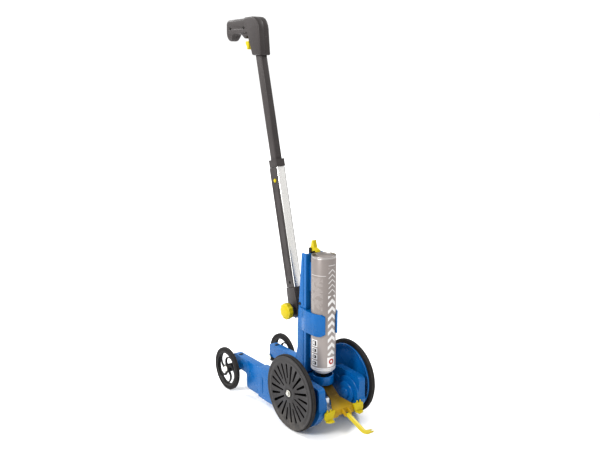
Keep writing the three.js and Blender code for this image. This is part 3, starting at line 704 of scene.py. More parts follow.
def fit(piece: bpy.types.Object, finish: Finish, body: str, slot: str, *nodes: str) -> bpy.types.Object:
    """Dresses a piece and ties it to the frame.

    Args:
        piece: the finished mesh object.
        finish: the finish that it takes.
        body: the body that it rides on.
        slot: the record's material slot; not used.
        nodes: the CAD nodes that it stands for.

    Returns:
        The piece.
    """
    if "edge" not in piece.data.attributes:
        soften(piece, 0.0)
    piece.data.materials.clear()
    piece.data.materials.append(material_of(finish))
    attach(piece, body)
    if nodes:
        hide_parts(*nodes)
    LOG.info("%s: %d faces on %s", piece.name, len(piece.data.polygons), body)
    return piece


def fit_copy(node: str, finish: Finish, body: str, slot: str,
             width: float, segments: int) -> bpy.types.Object:
    """Softens a CAD node's copy and fits it in the node's place."""
    return fit(soften(from_node(node, node + "_look"), width, segments), finish, body, slot, node)


def cross_recess(y: float, z: float, arm: float, half: float, x0: float,
                 x1: float) -> list[bpy.types.Object]:
    """The two bars that cut a screw's cross recess."""
    halves = ((arm, half), (half, arm))
    return [across("recess", rectangle(y - w, y + w, z - h, z + h), x0, x1) for w, h in halves]


BUILT: dict[str, bpy.types.Material] = {}


def material_of(finish: Finish) -> bpy.types.Material:
    """The material of a finish, built once."""
    if finish.name not in BUILT:
        BUILT[finish.name] = finish.build()
    return BUILT[finish.name]


# ------------------------------------------------------------------ wheels
@dataclass
class FrontWheel:
    """Large front wheel: tyre, blue dish, slotted grey cap and its bolt."""

    side: Side
    radius: float = 100.0
    cap_radius: float = 96.5
    slots: int = 11
    steps: int = 128

    def centre(self) -> Vector:
        """Middle of the axle line."""
        return mm(0, 0, FRONT_AXLE_Z)

    def tyre(self) -> bpy.types.Object:
        """Rounded tread with two shallow grooves."""
        r = self.radius
        profile = [(87.7, 91.8), (r - 4.4, 91.8), (r - 2.2, 92.1), (r - 0.8, 92.9), (r - 0.1, 94.4),
                   (r, 95.2), (r - 0.7, 95.5), (r - 0.7, 95.9), (r, 96.2), (r, 98.2), (r - 0.7, 98.5),
                   (r - 0.7, 98.9), (r, 99.2), (r - 0.1, 100.2), (r - 0.8, 101.5), (r - 2.2, 102.3),
                   (r - 3.2, 102.5), (r - 4.2, 102.4), (87.7, 102.4)]
        return turned("front_tyre", profile, self.centre(), Axis.X, self.steps)

    def dish(self) -> bpy.types.Object:
        """Smooth concave dish with a rolled lip and a bearing hub."""
        lip = [(88.0 + 1.4 * math.cos(a), 88.4 + 1.4 * math.sin(a))
               for a in (math.radians(d) for d in (-110, -70, -30, 10))]
        bowl = [(85.4, 87.6), (82.0, 90.2), (77.0, 93.2), (71.0, 94.8), (60.0, 95.3), (22.0, 95.4),
                (18.4, 94.8), (16.6, 93.2)]
        hub = [(6.5, 89.0), (15.0, 89.0), (15.4, 89.6)]
        back = [(89.3, 91.2), (87.2, 91.3), (87.2, 101.4), (84.4, 101.4), (84.4, 92.5), (79.0, 96.4),
                (72.0, 98.0), (15.0, 98.2), (6.5, 101.4)]
        profile = [*hub, *bowl[::-1], (86.9, 87.1), *lip, *back]
        return turned("front_wheel_dish", profile, self.centre(), Axis.X, self.steps)

    def slot_tool(self, inner: float, outer: float, half: float, turn: float, x0: float,
                  x1: float) -> bpy.types.Object:
        """A round-ended radial slot, ready to be repeated."""
        flat = []
        for k in range(7):
            a = math.pi / 2 - math.pi * k / 6
            flat.append((outer + half * math.cos(a), half * math.sin(a)))
        for k in range(7):
            a = -math.pi / 2 - math.pi * k / 6
            flat.append((inner + half * 0.6 * math.cos(a), half * 0.6 * math.sin(a)))
        cos, sin = math.cos(turn), math.sin(turn)
        points = [(p * cos - q * sin, FRONT_AXLE_Z + p * sin + q * cos) for p, q in flat]
        return across("slot_tool", points, x0, x1)

    def cap(self) -> bpy.types.Object:
        """Moulded cap: raised rolled rim, a ridge round the slots, a recessed centre."""
        r = self.cap_radius
        profile = [(7.2, 102.9), (r - 0.6, 102.9), (r, 103.3), (r, 104.3), (r - 0.7, 105.1),
                   (r - 2.0, 105.4), (r - 3.6, 105.3), (r - 4.8, 104.8), (r - 5.8, 104.5),
                   (r - 12.4, 104.5), (r - 13.4, 104.9), (r - 15.6, 104.9), (r - 16.6, 104.5),
                   (24.5, 104.5), (23.5, 105.0), (20.0, 105.3), (14.5, 105.3), (13.5, 104.6), (7.2, 104.6)]
        body = turned("front_hub_cap", profile, self.centre(), Axis.X, self.steps)
        step = 2 * math.pi / self.slots
        for inner, outer, half, turn in ((27.0, 74.6, 3.5, 0.0), (42.0, 74.6, 3.5, step / 2)):
            tool = repeated(self.slot_tool(inner, outer, half, turn, 101.0, 107.0), self.slots,
                            self.centre(), Axis.X)
            carve(body, tool)
        return body

    def backing(self) -> bpy.types.Object:
        """Black disc behind the slots, painted shade that makes them look deep and dark."""
        return turned("front_cap_slot_shade", [(16, 98.6), (82, 98.6), (82.6, 99.0), (82, 99.4), (16, 99.4)],
                      self.centre(), Axis.X, 64)

    def bolt(self) -> bpy.types.Object:
        """Domed hexagon head on a washer."""
        washer = turned("washer", [(3, 105.9), (8.7, 105.9), (9, 106.2), (9, 106.9), (8.6, 107.2),
                                   (3, 107.2)], self.centre(), Axis.X, 48)
        flat = [(y, z) for y, z in circle(0, FRONT_AXLE_Z, 6.4, 6)]
        head = across("head", flat, 107.0, 110.2)
        dome = turned("dome", [(0, 109.6), (5.2, 109.6), (5.2, 110.2), (4.3, 110.8), (2.4, 111.0),
                               (0, 111.0)], self.centre(), Axis.X, 32)
        shank = turned("shank", [(0, 86), (3, 86), (3, 106.4), (0, 106.4)], self.centre(), Axis.X, 20)
        return gathered("wheel_bolt", [soften(washer, 0.2, 2), soften(head, 0.45, 3), soften(dome, 0.2, 2),
                                       soften(shank, 0.0)])

    def build(self) -> None:
        """Makes the right wheel, or mirrors it to the left."""
        body = self.side.node("front_wheel")
        for maker, finish, slot, stem, width in (
                (self.tyre, FRONT_RUBBER, "tyre", "front_tyre", 0.3),
                (self.dish, BLUE, "blue_plastic", "front_wheel_dish", 0.4),
                (self.cap, CAP_GREY, "dark_plastic", "front_hub_cap", 0.35),
                # The black disc behind the slots is painted shade.
                (self.backing, SLOT_SHADE, "black_plastic", "", 0.1),
                (self.bolt, ZINC, "steel", "wheel_bolt", 0.0)):
            piece = maker()
            if "edge" not in piece.data.attributes:
                soften(piece, width, 2)
            piece = on_side(piece, self.side)
            piece.name = self.side.node(stem or "front_cap_slot_shade") + "_look"
            owner = "chassis" if stem == "wheel_bolt" else body
            fit(piece, finish, owner, slot, *([self.side.node(stem)] if stem else []))


@dataclass
class RearWheel:
    """Small open rear wheel with five curved spokes."""

    side: Side
    radius: float = 61.5
    rim_radius: float = 51.3
    spokes: int = 5

    def centre(self) -> Vector:
        """Middle of the rear axle line."""
        return mm(0, *REAR_AXLE)

    def tyre(self) -> bpy.types.Object:
        """Chunky ring with a groove in each flank and in the tread."""
        r = self.radius
        profile = [(51.7, 93.2), (56.0, 93.2), (56.6, 93.9), (57.6, 93.9), (58.2, 93.2), (59.6, 93.3),
                   (60.8, 94.0), (r, 95.4), (r, 97.2), (r - 0.9, 97.6), (r - 0.9, 99.2), (r, 99.6),
                   (r, 101.4), (60.8, 102.8), (59.6, 103.5), (58.2, 103.6), (57.6, 102.9), (56.6, 102.9),
                   (56.0, 103.6), (51.7, 103.6)]
        return soften(turned("rear_tyre", profile, self.centre(), Axis.X, 96), 0.3, 2)

    def spoke(self) -> bpy.types.Object:
        """One swept spoke, thick at the hub and at the rim."""
        near, far = [], []
        for k in range(9):
            t = k / 8
            r = 11.0 + 36.5 * t
            bend = 0.9 * max(0.0, (r - 15) / 28.5) ** 2
            half = (3.4 + 1.8 * (1 - min(1, 4 * t)) ** 2 + 2.4 * max(0.0, 4 * t - 3) ** 2) / r
            near.append((r, bend - half))
            far.append((r, bend + half))
        y, z = REAR_AXLE
        flat = [(y + r * math.cos(a), z + r * math.sin(a)) for r, a in near + far[::-1]]
        return across("spoke", flat, 96.6, 100.8)

    def rim(self) -> bpy.types.Object:
        """Rim ring, hub barrel and spokes, united."""
        r = self.rim_radius
        ring = turned("ring", [(45.6, 93.2), (r, 93.2), (r, 103.3), (45.6, 103.3), (46.6, 101.6),
                               (46.6, 94.9)], self.centre(), Axis.X, 96)
        hub = turned("hub", [(6.5, 77.6), (11.2, 77.6), (12.0, 78.4), (12.0, 101.6), (11.0, 102.7),
                             (6.5, 102.7)], self.centre(), Axis.X, 48)
        spokes = repeated(self.spoke(), self.spokes, self.centre(), Axis.X)
        return soften(fuse(ring, hub, spokes), 0.5, 2)

    def axle(self) -> bpy.types.Object:
        """Axle pin with a domed end cap."""
        profile = [(0, 47.5), (9, 47.5), (9, 50), (6, 50), (6, 103.2), (8.4, 103.2), (8.8, 103.7),
                   (8.4, 104.8), (6.0, 105.6), (0, 106)]
        return soften(turned("rear_axle", profile, self.centre(), Axis.X, 40), 0.3, 2)

    def build(self) -> None:
        """Makes the wheel on its side of the machine."""
        body = self.side.node("rear_wheel")
        for maker, finish, slot, stem, owner in (
                (self.tyre, REAR_RUBBER, "tyre", "rear_tyre", body),
                (self.rim, BLACK, "dark_plastic", "rear_rim", body),
                (self.axle, ZINC, "steel", "rear_axle", "chassis")):
            piece = on_side(maker(), self.side)
            piece.name = self.side.node(stem) + "_look"
            fit(piece, finish, owner, slot, self.side.node(stem))


# ------------------------------------------------------------------ chassis
@dataclass
class Chassis:
    """Blue base mouldings: frame, side shields and rear arms with their details."""

    shield_x: Point = (56.0, 76.0)
    steps: tuple[Point, ...] = ((44.5, 50.5), (29.5, 44.0), (15.0, 39.0))
    step_centre: Point = (-47.0, 79.0)

    def frame_moulding(self) -> None:
        """Sockets and cross member, with rounded edges and a row of stiffening ribs."""
        piece = from_node("chassis_frame", "chassis_frame_look")
        ribs = [upward("rib", rectangle(x - 1.2, x + 1.2, 35.2, 36.6, 0.4, 2), 66, 122)
                for x in (-42.0, 42.0)]
        soften(piece, 0.9, 3)
        for rib in ribs:
            soften(rib, 0.3, 2)
        fit(gathered("chassis_frame_look", [piece, *ribs]), BLUE, "chassis", "blue_plastic",
            "chassis_frame")

    def shield_outline(self) -> list[Point]:
        """The shield's outline, with its wheel arch."""
        arc: list[tuple[float, ...]] = []
        for i in range(25):
            a = math.pi * (1.5 - 0.405 * i / 24)
            arc.append((97 * math.cos(a), FRONT_AXLE_Z + 97 * math.sin(a)))
        return rounded([(34, 12, 6), *arc, (-89, 78), (-89, 132, 14), (8, 135, 10), (34, 118, 8)], 6)

    def shield(self) -> bpy.types.Object:
        """Shield with a hollow for the wheel and stepped arches on its inner face."""
        flat = self.shield_outline()
        plate = across("side_shield", flat, *self.shield_x)
        arches = []
        for radius, x in self.steps:
            disc = turned("arch", [(0, x), (radius - 0.8, x), (radius, x + 0.8),
                                   (radius, self.shield_x[0] + 1.5), (0, self.shield_x[0] + 1.5)],
                          mm(0, *self.step_centre), Axis.X, 96)
            arches.append(keep_inside(disc, across("bound", flat, 20, 90)))
        fuse(plate, *arches)
        hollow = turned("hollow", [(0, 59), (83.6, 59), (84, 60), (84, 82), (0, 82)],
                        mm(0, 0, FRONT_AXLE_Z), Axis.X, 96)
        carve(plate, keep_inside(hollow, across("bound", rectangle(-85, 30, 18, 128, 4), 50, 90)))
        fuse(plate, turned("boss", [(0, 57), (13, 57), (13, 75.4), (12.4, 76), (0, 76)],
                           mm(0, 0, FRONT_AXLE_Z), Axis.X, 48))
        bore = turned("bore", [(0, 40), (9.3, 40), (9.3, 57.8), (6.3, 57.8), (6.3, 90), (0, 90)],
                      mm(0, 0, FRONT_AXLE_Z), Axis.X, 32)
        return soften(carve(plate, bore), 2.2, 4)

    def arm(self) -> bpy.types.Object:
        """Rear arm with its socket end and recessed panel, its edges rounded."""
        return soften(from_node("rear_arm_right", "rear_arm"), 1.0, 3)

    def arm_plug(self) -> bpy.types.Object:
        """Dark oval plug on the arm's top, near its rear end."""
        plug = upward("arm_plug", oval(63, 296, 7.0, 4.6, 40), 101.2, 102.9)
        return soften(carve(plug, upward("dent", oval(63, 296, 4.6, 2.6), 102.2, 104)), 0.3, 2)

    def axle_block(self) -> bpy.types.Object:
        """Saddle under the rear of the arm."""
        return soften(from_node("axle_block_right", "axle_block"), 0.6, 2)

    def stub_axle(self) -> bpy.types.Object:
        """Front stub axle with its flange."""
        profile = [(0, 54), (8.6, 54), (9, 54.4), (9, 57.5), (6, 57.5), (6, 102), (3.3, 102), (3.3, 84),
                   (0, 84)]
        return soften(turned("stub_axle", profile, mm(0, 0, FRONT_AXLE_Z), Axis.X, 40), 0.2, 2)

    def axle_cover(self) -> bpy.types.Object:
        """Low blue cover over the stub axle's flange."""
        profile = [(0, 52.6), (7.6, 52.8), (9.6, 53.3), (10.8, 54.6), (11.2, 56.1), (9.3, 56.1),
                   (9.2, 53.9), (0, 53.8)]
        return soften(turned("axle_cover", profile, mm(0, 0, FRONT_AXLE_Z), Axis.X, 48), 0.0)

    def build(self) -> None:
        """Makes the frame, then each side's mouldings."""
        self.frame_moulding()
        for maker, finish, slot, stem, in_cad in (
                (self.shield, BLUE, "blue_plastic", "side_shield", True),
                (self.arm, BLUE, "blue_plastic", "rear_arm", True),
                (self.arm_plug, BLACK, "black_plastic", "arm_plug", False),
                (self.axle_cover, BLUE, "blue_plastic", "axle_cover", False),
                (self.stub_axle, ZINC, "steel", "stub_axle", True),
                (self.axle_block, BLACK, "black_plastic", "axle_block", True)):
            right = maker()
            left = other_side(right, "left_copy")
            for side, piece in ((Side.RIGHT, right), (Side.LEFT, left)):
                piece.name = side.node(stem) + "_look"
                fit(piece, finish, "chassis", slot, *([side.node(stem)] if in_cad else []))


@dataclass
class Upright:
    """Channel-shaped mast with the can clip and the nozzle holder."""

    clip_inner: float = 33.2
    clip_outer: float = 37.0
    gap_angle: float = 30.5

    def mast(self) -> bpy.types.Object:
        """The mast, with long grooves down its sides and its edges rounded."""
        piece = from_node("upright", "upright_look")
        grooves = [across("groove", rectangle(37.5, 41.0, z0, z1, 1.6, 4), x0, x1)
                   for z0, z1 in ((140, 241), (309, 440)) for x0, x1 in ((-30, -27.0), (27.0, 30))]
        return soften(carve(piece, *grooves), 0.8, 3)

    def clip(self) -> bpy.types.Object:
        """Open spring band round the can, its front corners cut, joined to arms and a root."""
        start = -90 + self.gap_angle
        sweep = 360 - 2 * self.gap_angle

        def arc(radius: float, a0: float, a1: float) -> list[Point]:
            """Points of an arc about the can's middle."""
            return [(radius * math.cos(math.radians(a0 + (a1 - a0) * i / 72)),
                     CAN_Y + radius * math.sin(math.radians(a0 + (a1 - a0) * i / 72))) for i in range(73)]

        ring = arc(self.clip_outer, start, start + sweep) + arc(self.clip_inner, start + sweep, start)
        band = upward("can_clip_look", ring, 244.5, 303)
        root = upward("root", rectangle(-13, 13, 24, 28.7, 0.5, 2), 250.5, 297)
        arms = upward("arms", rounded([(-37, CAN_Y), (37, CAN_Y), (37, 24, 14), (31.4, 44, 6),
                                       (31.4, 58, 2), (-31.4, 58, 2), (-31.4, 44, 6), (-37, 24, 14)], 8),
                      244.5, 303)
        carve(arms, upward("mast_way", rectangle(-28.3, 28.3, 22, 70), 200, 340))
        for part in (arms, root):
            carve(part, turned("bore", [(0, 240), (self.clip_inner, 240), (self.clip_inner, 310), (0, 310)],
                               mm(0, CAN_Y, 0), Axis.Z, 96))
        fuse(band, arms, root)
        for tip, reach in ((243.5, 256.5), (304, 291)):
            carve(band, across("corner", [(-46, tip), (-31, tip), (-46, reach)], -60, 60))
        return soften(band, 1.1, 3)

    def holder(self) -> bpy.types.Object:
        """Cup under the can's valve, with its bridge to the frame."""
        cup = turned("nozzle_holder_look", [(9, 107), (26, 107), (28, 110), (28, 130.4), (27.4, 131),
                                            (24.6, 131), (24, 130.4), (24, 111), (9, 111)], mm(0, CAN_Y, 0),
                     Axis.Z, 96)
        bridge = upward("bridge", [(-20, 10), (20, 10), (24, 35.7), (-24, 35.7)], 107, 124)
        bore = turned("bore", [(0, 100), (27, 100), (27, 140), (0, 140)], mm(0, CAN_Y, 0), Axis.Z, 96)
        carve(bridge, bore)
        return soften(fuse(cup, bridge), 0.6, 2)

    def nozzle(self) -> bpy.types.Object:
        """Spray button in the holder."""
        profile = [(0, 105.8), (1.0, 105.8), (1.4, 107), (8.6, 107), (8.6, 111.4), (10.4, 111.4),
                   (10.4, 114), (6.5, 116), (6.5, 128), (2.4, 128), (2.4, 121), (0, 121)]
        return soften(turned("spray_nozzle_look", profile, mm(0, CAN_Y, 0), Axis.Z, 48), 0.3, 2)

    def build(self) -> None:
        """Makes the mast and what is fixed to it."""
        fit(self.mast(), BLUE, "chassis", "blue_plastic", "upright")
        fit(self.clip(), BLUE, "chassis", "blue_plastic", "can_clip")
        fit(self.holder(), BLUE, "chassis", "blue_plastic", "nozzle_holder")
        fit(self.nozzle(), BLACK, "chassis", "black_plastic", "spray_nozzle")


# ------------------------------------------------------------------ can and press
@dataclass
class AerosolCan:
    """Upturned can: seamed tin body, white shoulder and black valve cup."""

    radius: float = 32.5
    steps: int = 128

    def axis(self) -> Vector:
        """A point of the can's axis."""
        return mm(0, CAN_Y, 0)

    def body(self) -> bpy.types.Object:
        """Tin body with a rolled seam at each end and a domed base."""
        r = self.radius
        profile = [(27.6, 146.4), (29.8, 147.0), (31.4, 148.2), (32.2, 149.8), (32.3, 151.6), (31.7, 152.3),
                   (31.7, 153.0), (32.4, 153.8), (r, 155.4), (32.4, 157.0), (31.9, 157.7), (31.9, 158.2),
                   (r, 158.9), (r, 447.6), (32.0, 448.4), (32.1, 449.0), (r, 449.8), (r, 451.4),
                   (32.0, 452.7), (31.2, 453.0), (30.6, 452.6), (30.2, 451.4), (29.6, 448.6), (27.0, 446.9),
                   (18, 445.4), (8, 444.5), (0, 444.3), (0, 443.1), (28.2, 446.0), (31.0, 446.8),
                   (31.0, 157.0), (27.6, 149.4)]
        return soften(turned("can_body_look", profile, self.axis(), Axis.Z, self.steps), 0.0)

    def shoulder(self) -> bpy.types.Object:
        """White cone with a beaded neck."""
        profile = [(16.5, 137.3), (17.6, 137.1), (18.6, 137.5), (19.2, 138.6), (20.4, 139.7), (23.0, 140.9),
                   (26.0, 142.6), (28.2, 144.8), (29.0, 146.6), (28.0, 147.2), (26.8, 146.8), (25, 145),
                   (16.5, 141)]
        return soften(turned("can_shoulder_look", profile, self.axis(), Axis.Z, self.steps), 0.0)

    def valve(self) -> bpy.types.Object:
        """Crimped valve cup and stem."""
        profile = [(0, 126), (1.6, 126), (2, 126.5), (2, 132.2), (5.0, 132.3), (5.6, 131.8), (9.0, 131.8),
                   (9.6, 132.4), (14, 132.4), (15.4, 132.8), (16, 134), (16, 139.6), (14.4, 139.6),
                   (13, 135.4), (5, 135.4), (5, 150), (0, 150)]
        return soften(turned("valve_cup_look", profile, self.axis(), Axis.Z, 64), 0.0)

    def build(self) -> None:
        """Makes the can's three pieces."""
        fit(self.body(), TIN, "can", "can_print", "can_body")
        fit(self.shoulder(), WHITE_TIN, "can", "can_white", "can_shoulder")
        fit(self.valve(), BLACK, "can", "black_plastic", "valve_cup")


def coil(name: str, centre: Vector, axis: Axis, radius: float, wire: float, turns: int,
         rise: float) -> bpy.types.Object:
    """A wire coil, spun from one section by the Screw modifier.

    Args:
        name: the piece's name.
        centre: where the coil starts, on its axis, in metres.
        axis: the coil's axis, X or Z.
        radius: mean radius in millimetres.
        wire: radius of the wire in millimetres.
        turns: number of turns.
        rise: advance of each turn in millimetres.

    Returns:
        The coil with its place in its mesh.
    """
    section = outline(name, [Vector(((radius + wire * math.cos(a)) / 1000, 0, wire * math.sin(a) / 1000))
                             for a in (2 * math.pi * k / 8 for k in range(8))])
    apply(section, "SCREW", axis="Z", angle=2 * math.pi, screw_offset=rise / 1000, iterations=turns,
          steps=20, render_steps=20, use_merge_vertices=False)
    edit_all(section)
    bpy.ops.mesh.select_all(action="DESELECT")
    bpy.ops.mesh.select_non_manifold(extend=False)
    bpy.ops.mesh.edge_face_add()
    bpy.ops.mesh.select_all(action="SELECT")
    bpy.ops.mesh.fill_holes(sides=16)
    bpy.ops.object.mode_set(mode="OBJECT")
    turn = Matrix.Rotation(math.pi / 2, 4, "Y") if axis is Axis.X else Matrix.Identity(4)
    section.matrix_world = Matrix.Translation(centre) @ turn
    focus(section)
    bpy.ops.object.transform_apply(location=True, rotation=True, scale=True)
    return soften(tidy(section, 0.001), 0.0)


@dataclass
class CanPress:
    """Sprung rod behind the can, its guide and the yellow hook over the can's base."""

    rod_y: float = 40.0

    def build(self) -> None:
        """Makes the press and its spring."""
        fit_copy("press_rod", BLACK, "press", "black_plastic", 0.5, 2)
        fit_copy("press_guide", BLACK, "chassis", "black_plastic", 0.6, 2)
        fit_copy("press_hook", YELLOW, "press_hook", "yellow_plastic", 0.9, 3)
        spring = coil("press_spring_look", mm(0, self.rod_y, 336.9), Axis.Z, 5.75, 0.7, 4, 3.4)
        fit(spring, SPRING_STEEL, "press", "steel", "press_spring")


# ------------------------------------------------------------------ handle
@dataclass
class HandlePivot:
    """Bracket on the mast, its screws, the pivot bolt and the lobed knob."""

    lobes: int = 10
    knob_radius: float = 21.4

    def knob(self) -> bpy.types.Object:
        """Yellow knob with rounded lobes, a dished face and a hub."""
        flat = []
        for i in range(160):
            a = 2 * math.pi * i / 160
            r = self.knob_radius + 0.7 * math.cos(self.lobes * a)
            flat.append((PIVOT[0] + r * math.cos(a), PIVOT[1] + r * math.sin(a)))
        body = across("clamp_knob_look", flat, -44.0, -31.0)
        face = turned("face", [(0, -47.4), (10.5, -47.4), (14.8, -46.6), (17.6, -45.2), (19.2, -43.8),
                               (0, -43.8)], mm(0, *PIVOT), Axis.X, 64)
        fuse(body, face)
        bore = turned("bore", [(0, -32.5), (5.3, -32.5), (5.3, -20), (0, -20)], mm(0, *PIVOT), Axis.X, 32)
        return soften(carve(body, bore), 1.4, 4)

    def neck(self) -> bpy.types.Object:
        """Dark sleeve between the knob and the fork."""
        profile = [(5.4, -31.0), (19.0, -31.0), (19.8, -30.2), (19.8, -26.4), (14.6, -24.8), (14.0, -17.0),
                   (13.2, -16.2), (5.4, -16.2)]
        return soften(turned("clamp_knob_neck", profile, mm(0, *PIVOT), Axis.X, 64), 0.3, 2)

    def bolt(self) -> bpy.types.Object:
        """Bolt with a domed head and a washer face."""
        profile = [(0, -26), (4.4, -26), (5, -25.4), (5, 16.2), (9.8, 16.2), (10, 16.5), (10, 20.4),
                   (9.4, 21.2), (8, 22.0), (0, 22.2)]
        return soften(turned("pivot_bolt_look", profile, mm(0, *PIVOT), Axis.X, 48), 0.2, 2)

    def screw(self) -> bpy.types.Object:
        """Pan-head screw with a cross recess."""
        body = turned("bracket_screw", [(0, 28.3), (4.4, 28.3), (4.6, 28.6), (4.4, 29.6), (3.4, 30.3),
                                        (0, 30.6)], mm(0, 56, 312), Axis.X, 32)
        return soften(carve(body, *cross_recess(56, 312, 2.4, 0.45, 29.5, 32)), 0.1, 2)

    def build(self) -> None:
        """Makes the pivot's pieces."""
        fit_copy("handle_bracket", BLUE, "chassis", "blue_plastic", 0.8, 3)
        fit(self.knob(), YELLOW, "clamp_knob", "yellow_plastic", "clamp_knob")
        fit(self.neck(), DARK, "clamp_knob", "dark_plastic")
        fit(self.bolt(), ZINC, "chassis", "steel", "pivot_bolt")
        right = self.screw()
        for side, piece in ((Side.LEFT, other_side(right, "left_copy")), (Side.RIGHT, right)):
            piece.name = side.node("bracket_screw") + "_look"
            fit(piece, BLACKENED, "chassis", "steel", side.node("bracket_screw"))


@dataclass
class HandleTubes:
    """Lower silver tube with dark side rails, the collar and the dark upper tube."""

    lower: tuple[float, float, float] = (24.4, 32.6, 1.6)
    upper: tuple[float, float, float] = (20.6, 27.2, 1.8)
    button_w: float = 350.5
    hole_w: float = 73.5

    def tube(self, name: str, size: tuple[float, float, float], w0: float, w1: float) -> bpy.types.Object:
        """A rounded rectangular tube."""
        x, y, wall = size[0] / 2, size[1] / 2, size[2]
        body = along_handle(name, rectangle(-x, x, -y, y, 4.4, 8), w0, w1)
        way = along_handle("way", rectangle(-x + wall, x - wall, -y + wall, y - wall, 3.2, 6), w0 - 3,
                           w1 + 3)
        return carve(body, way)

    def round_tool(self, radius: float, w: float, x0: float, x1: float) -> bpy.types.Object:
        """A round hole's tool through the left side."""
        return on_handle_across("tool", circle(0, w, radius, 40), x0, x1)

    def rail(self, side: Side) -> bpy.types.Object:
        """Side rail: a strip with a lip along its rear edge and shallow ribs along its length."""
        low, high = (12.5, 14.3)
        piece = on_handle_across("rail", rectangle(-13.0, 17.5, 61, 386, 0.6, 2), low, high)
        lip = on_handle_across("lip", rectangle(16.5, 18.1, 61, 386, 0.3, 2), low - 3, high)
        ribs = [on_handle_across("rib", rectangle(y - 0.8, y + 0.8, 92, 334, 0.5, 2), high - 0.4,
                                 high + 0.6) for y in (-8.6, 12.6)]
        fuse(piece, lip, *ribs)
        piece = on_side(piece, side)
        if side is Side.LEFT:
            carve(piece, self.round_tool(6.4, self.button_w, -20, -5),
                  self.round_tool(4.2, self.hole_w, -20, -5))
        return soften(piece, 0.4, 2)

    def collar(self) -> bpy.types.Object:
        """Collar at the top of the lower tube, with a ridge at each end."""
        body = along_handle("tube_collar_look", rectangle(-14.8, 14.8, -18.4, 18.4, 5, 8), 387, 407)
        bands = [along_handle("band", rectangle(-15.2, 15.2, -18.8, 18.8, 5.4, 8), w0, w1)
                 for w0, w1 in ((387, 390.5), (403, 406.6))]
        fuse(body, *bands)
        way = along_handle("way", rectangle(-10.6, 10.6, -13.9, 13.9, 3, 5), 380, 412)
        return soften(carve(body, way), 0.9, 3)

    def button(self) -> bpy.types.Object:
        """Domed yellow height button."""
        at = on_handle(0, 0, self.button_w)
        profile = [(0, -16.9), (2.4, -16.8), (4.2, -16.4), (5.2, -15.6), (5.4, -14.6), (5.4, -12.9),
                   (0, -12.9)]
        return soften(turned("height_button_look", profile, Vector((0, at.y, at.z)), Axis.X, 48), 0.0)

    def hole_shade(self) -> bpy.types.Object:
        """Black disc at the bottom of the lower height hole, painted shade for the hole's depth."""
        at = on_handle(0, 0, self.hole_w)
        return soften(turned("hole_shade_disc", [(0, -12.9), (7.6, -12.9), (7.6, -12.5), (0, -12.5)],
                             Vector((0, at.y, at.z)), Axis.X, 40), 0.0)

    def build(self) -> None:
        """Makes both tubes and what they carry."""
        low = self.tube("lower_tube_look", self.lower, 34, 386.5)
        carve(low, self.round_tool(7.9, self.button_w, -20, -5))
        fit(soften(low, 0.3, 2), TUBE_METAL, "handle_lower", "aluminium", "lower_tube")
        fit_copy("handle_fork", DARK, "handle_lower", "dark_plastic", 0.9, 3)
        for side in Side:
            piece = self.rail(side)
            piece.name = side.node("rail") + "_look"
            fit(piece, DARK, "handle_lower", "dark_plastic", side.node("rail"))
        fit(self.collar(), DARK, "handle_lower", "dark_plastic", "tube_collar")
        # A black disc stands in for the shade inside the lower height hole.
        fit(self.hole_shade(), BLACK, "handle_lower", "black_plastic")
        fit(self.button(), YELLOW, "height_button", "yellow_plastic", "height_button")
        fit(soften(self.tube("upper_tube_look", self.upper, 330, 735), 0.3, 2), DARK, "handle_upper",
            "dark_plastic", "upper_tube")


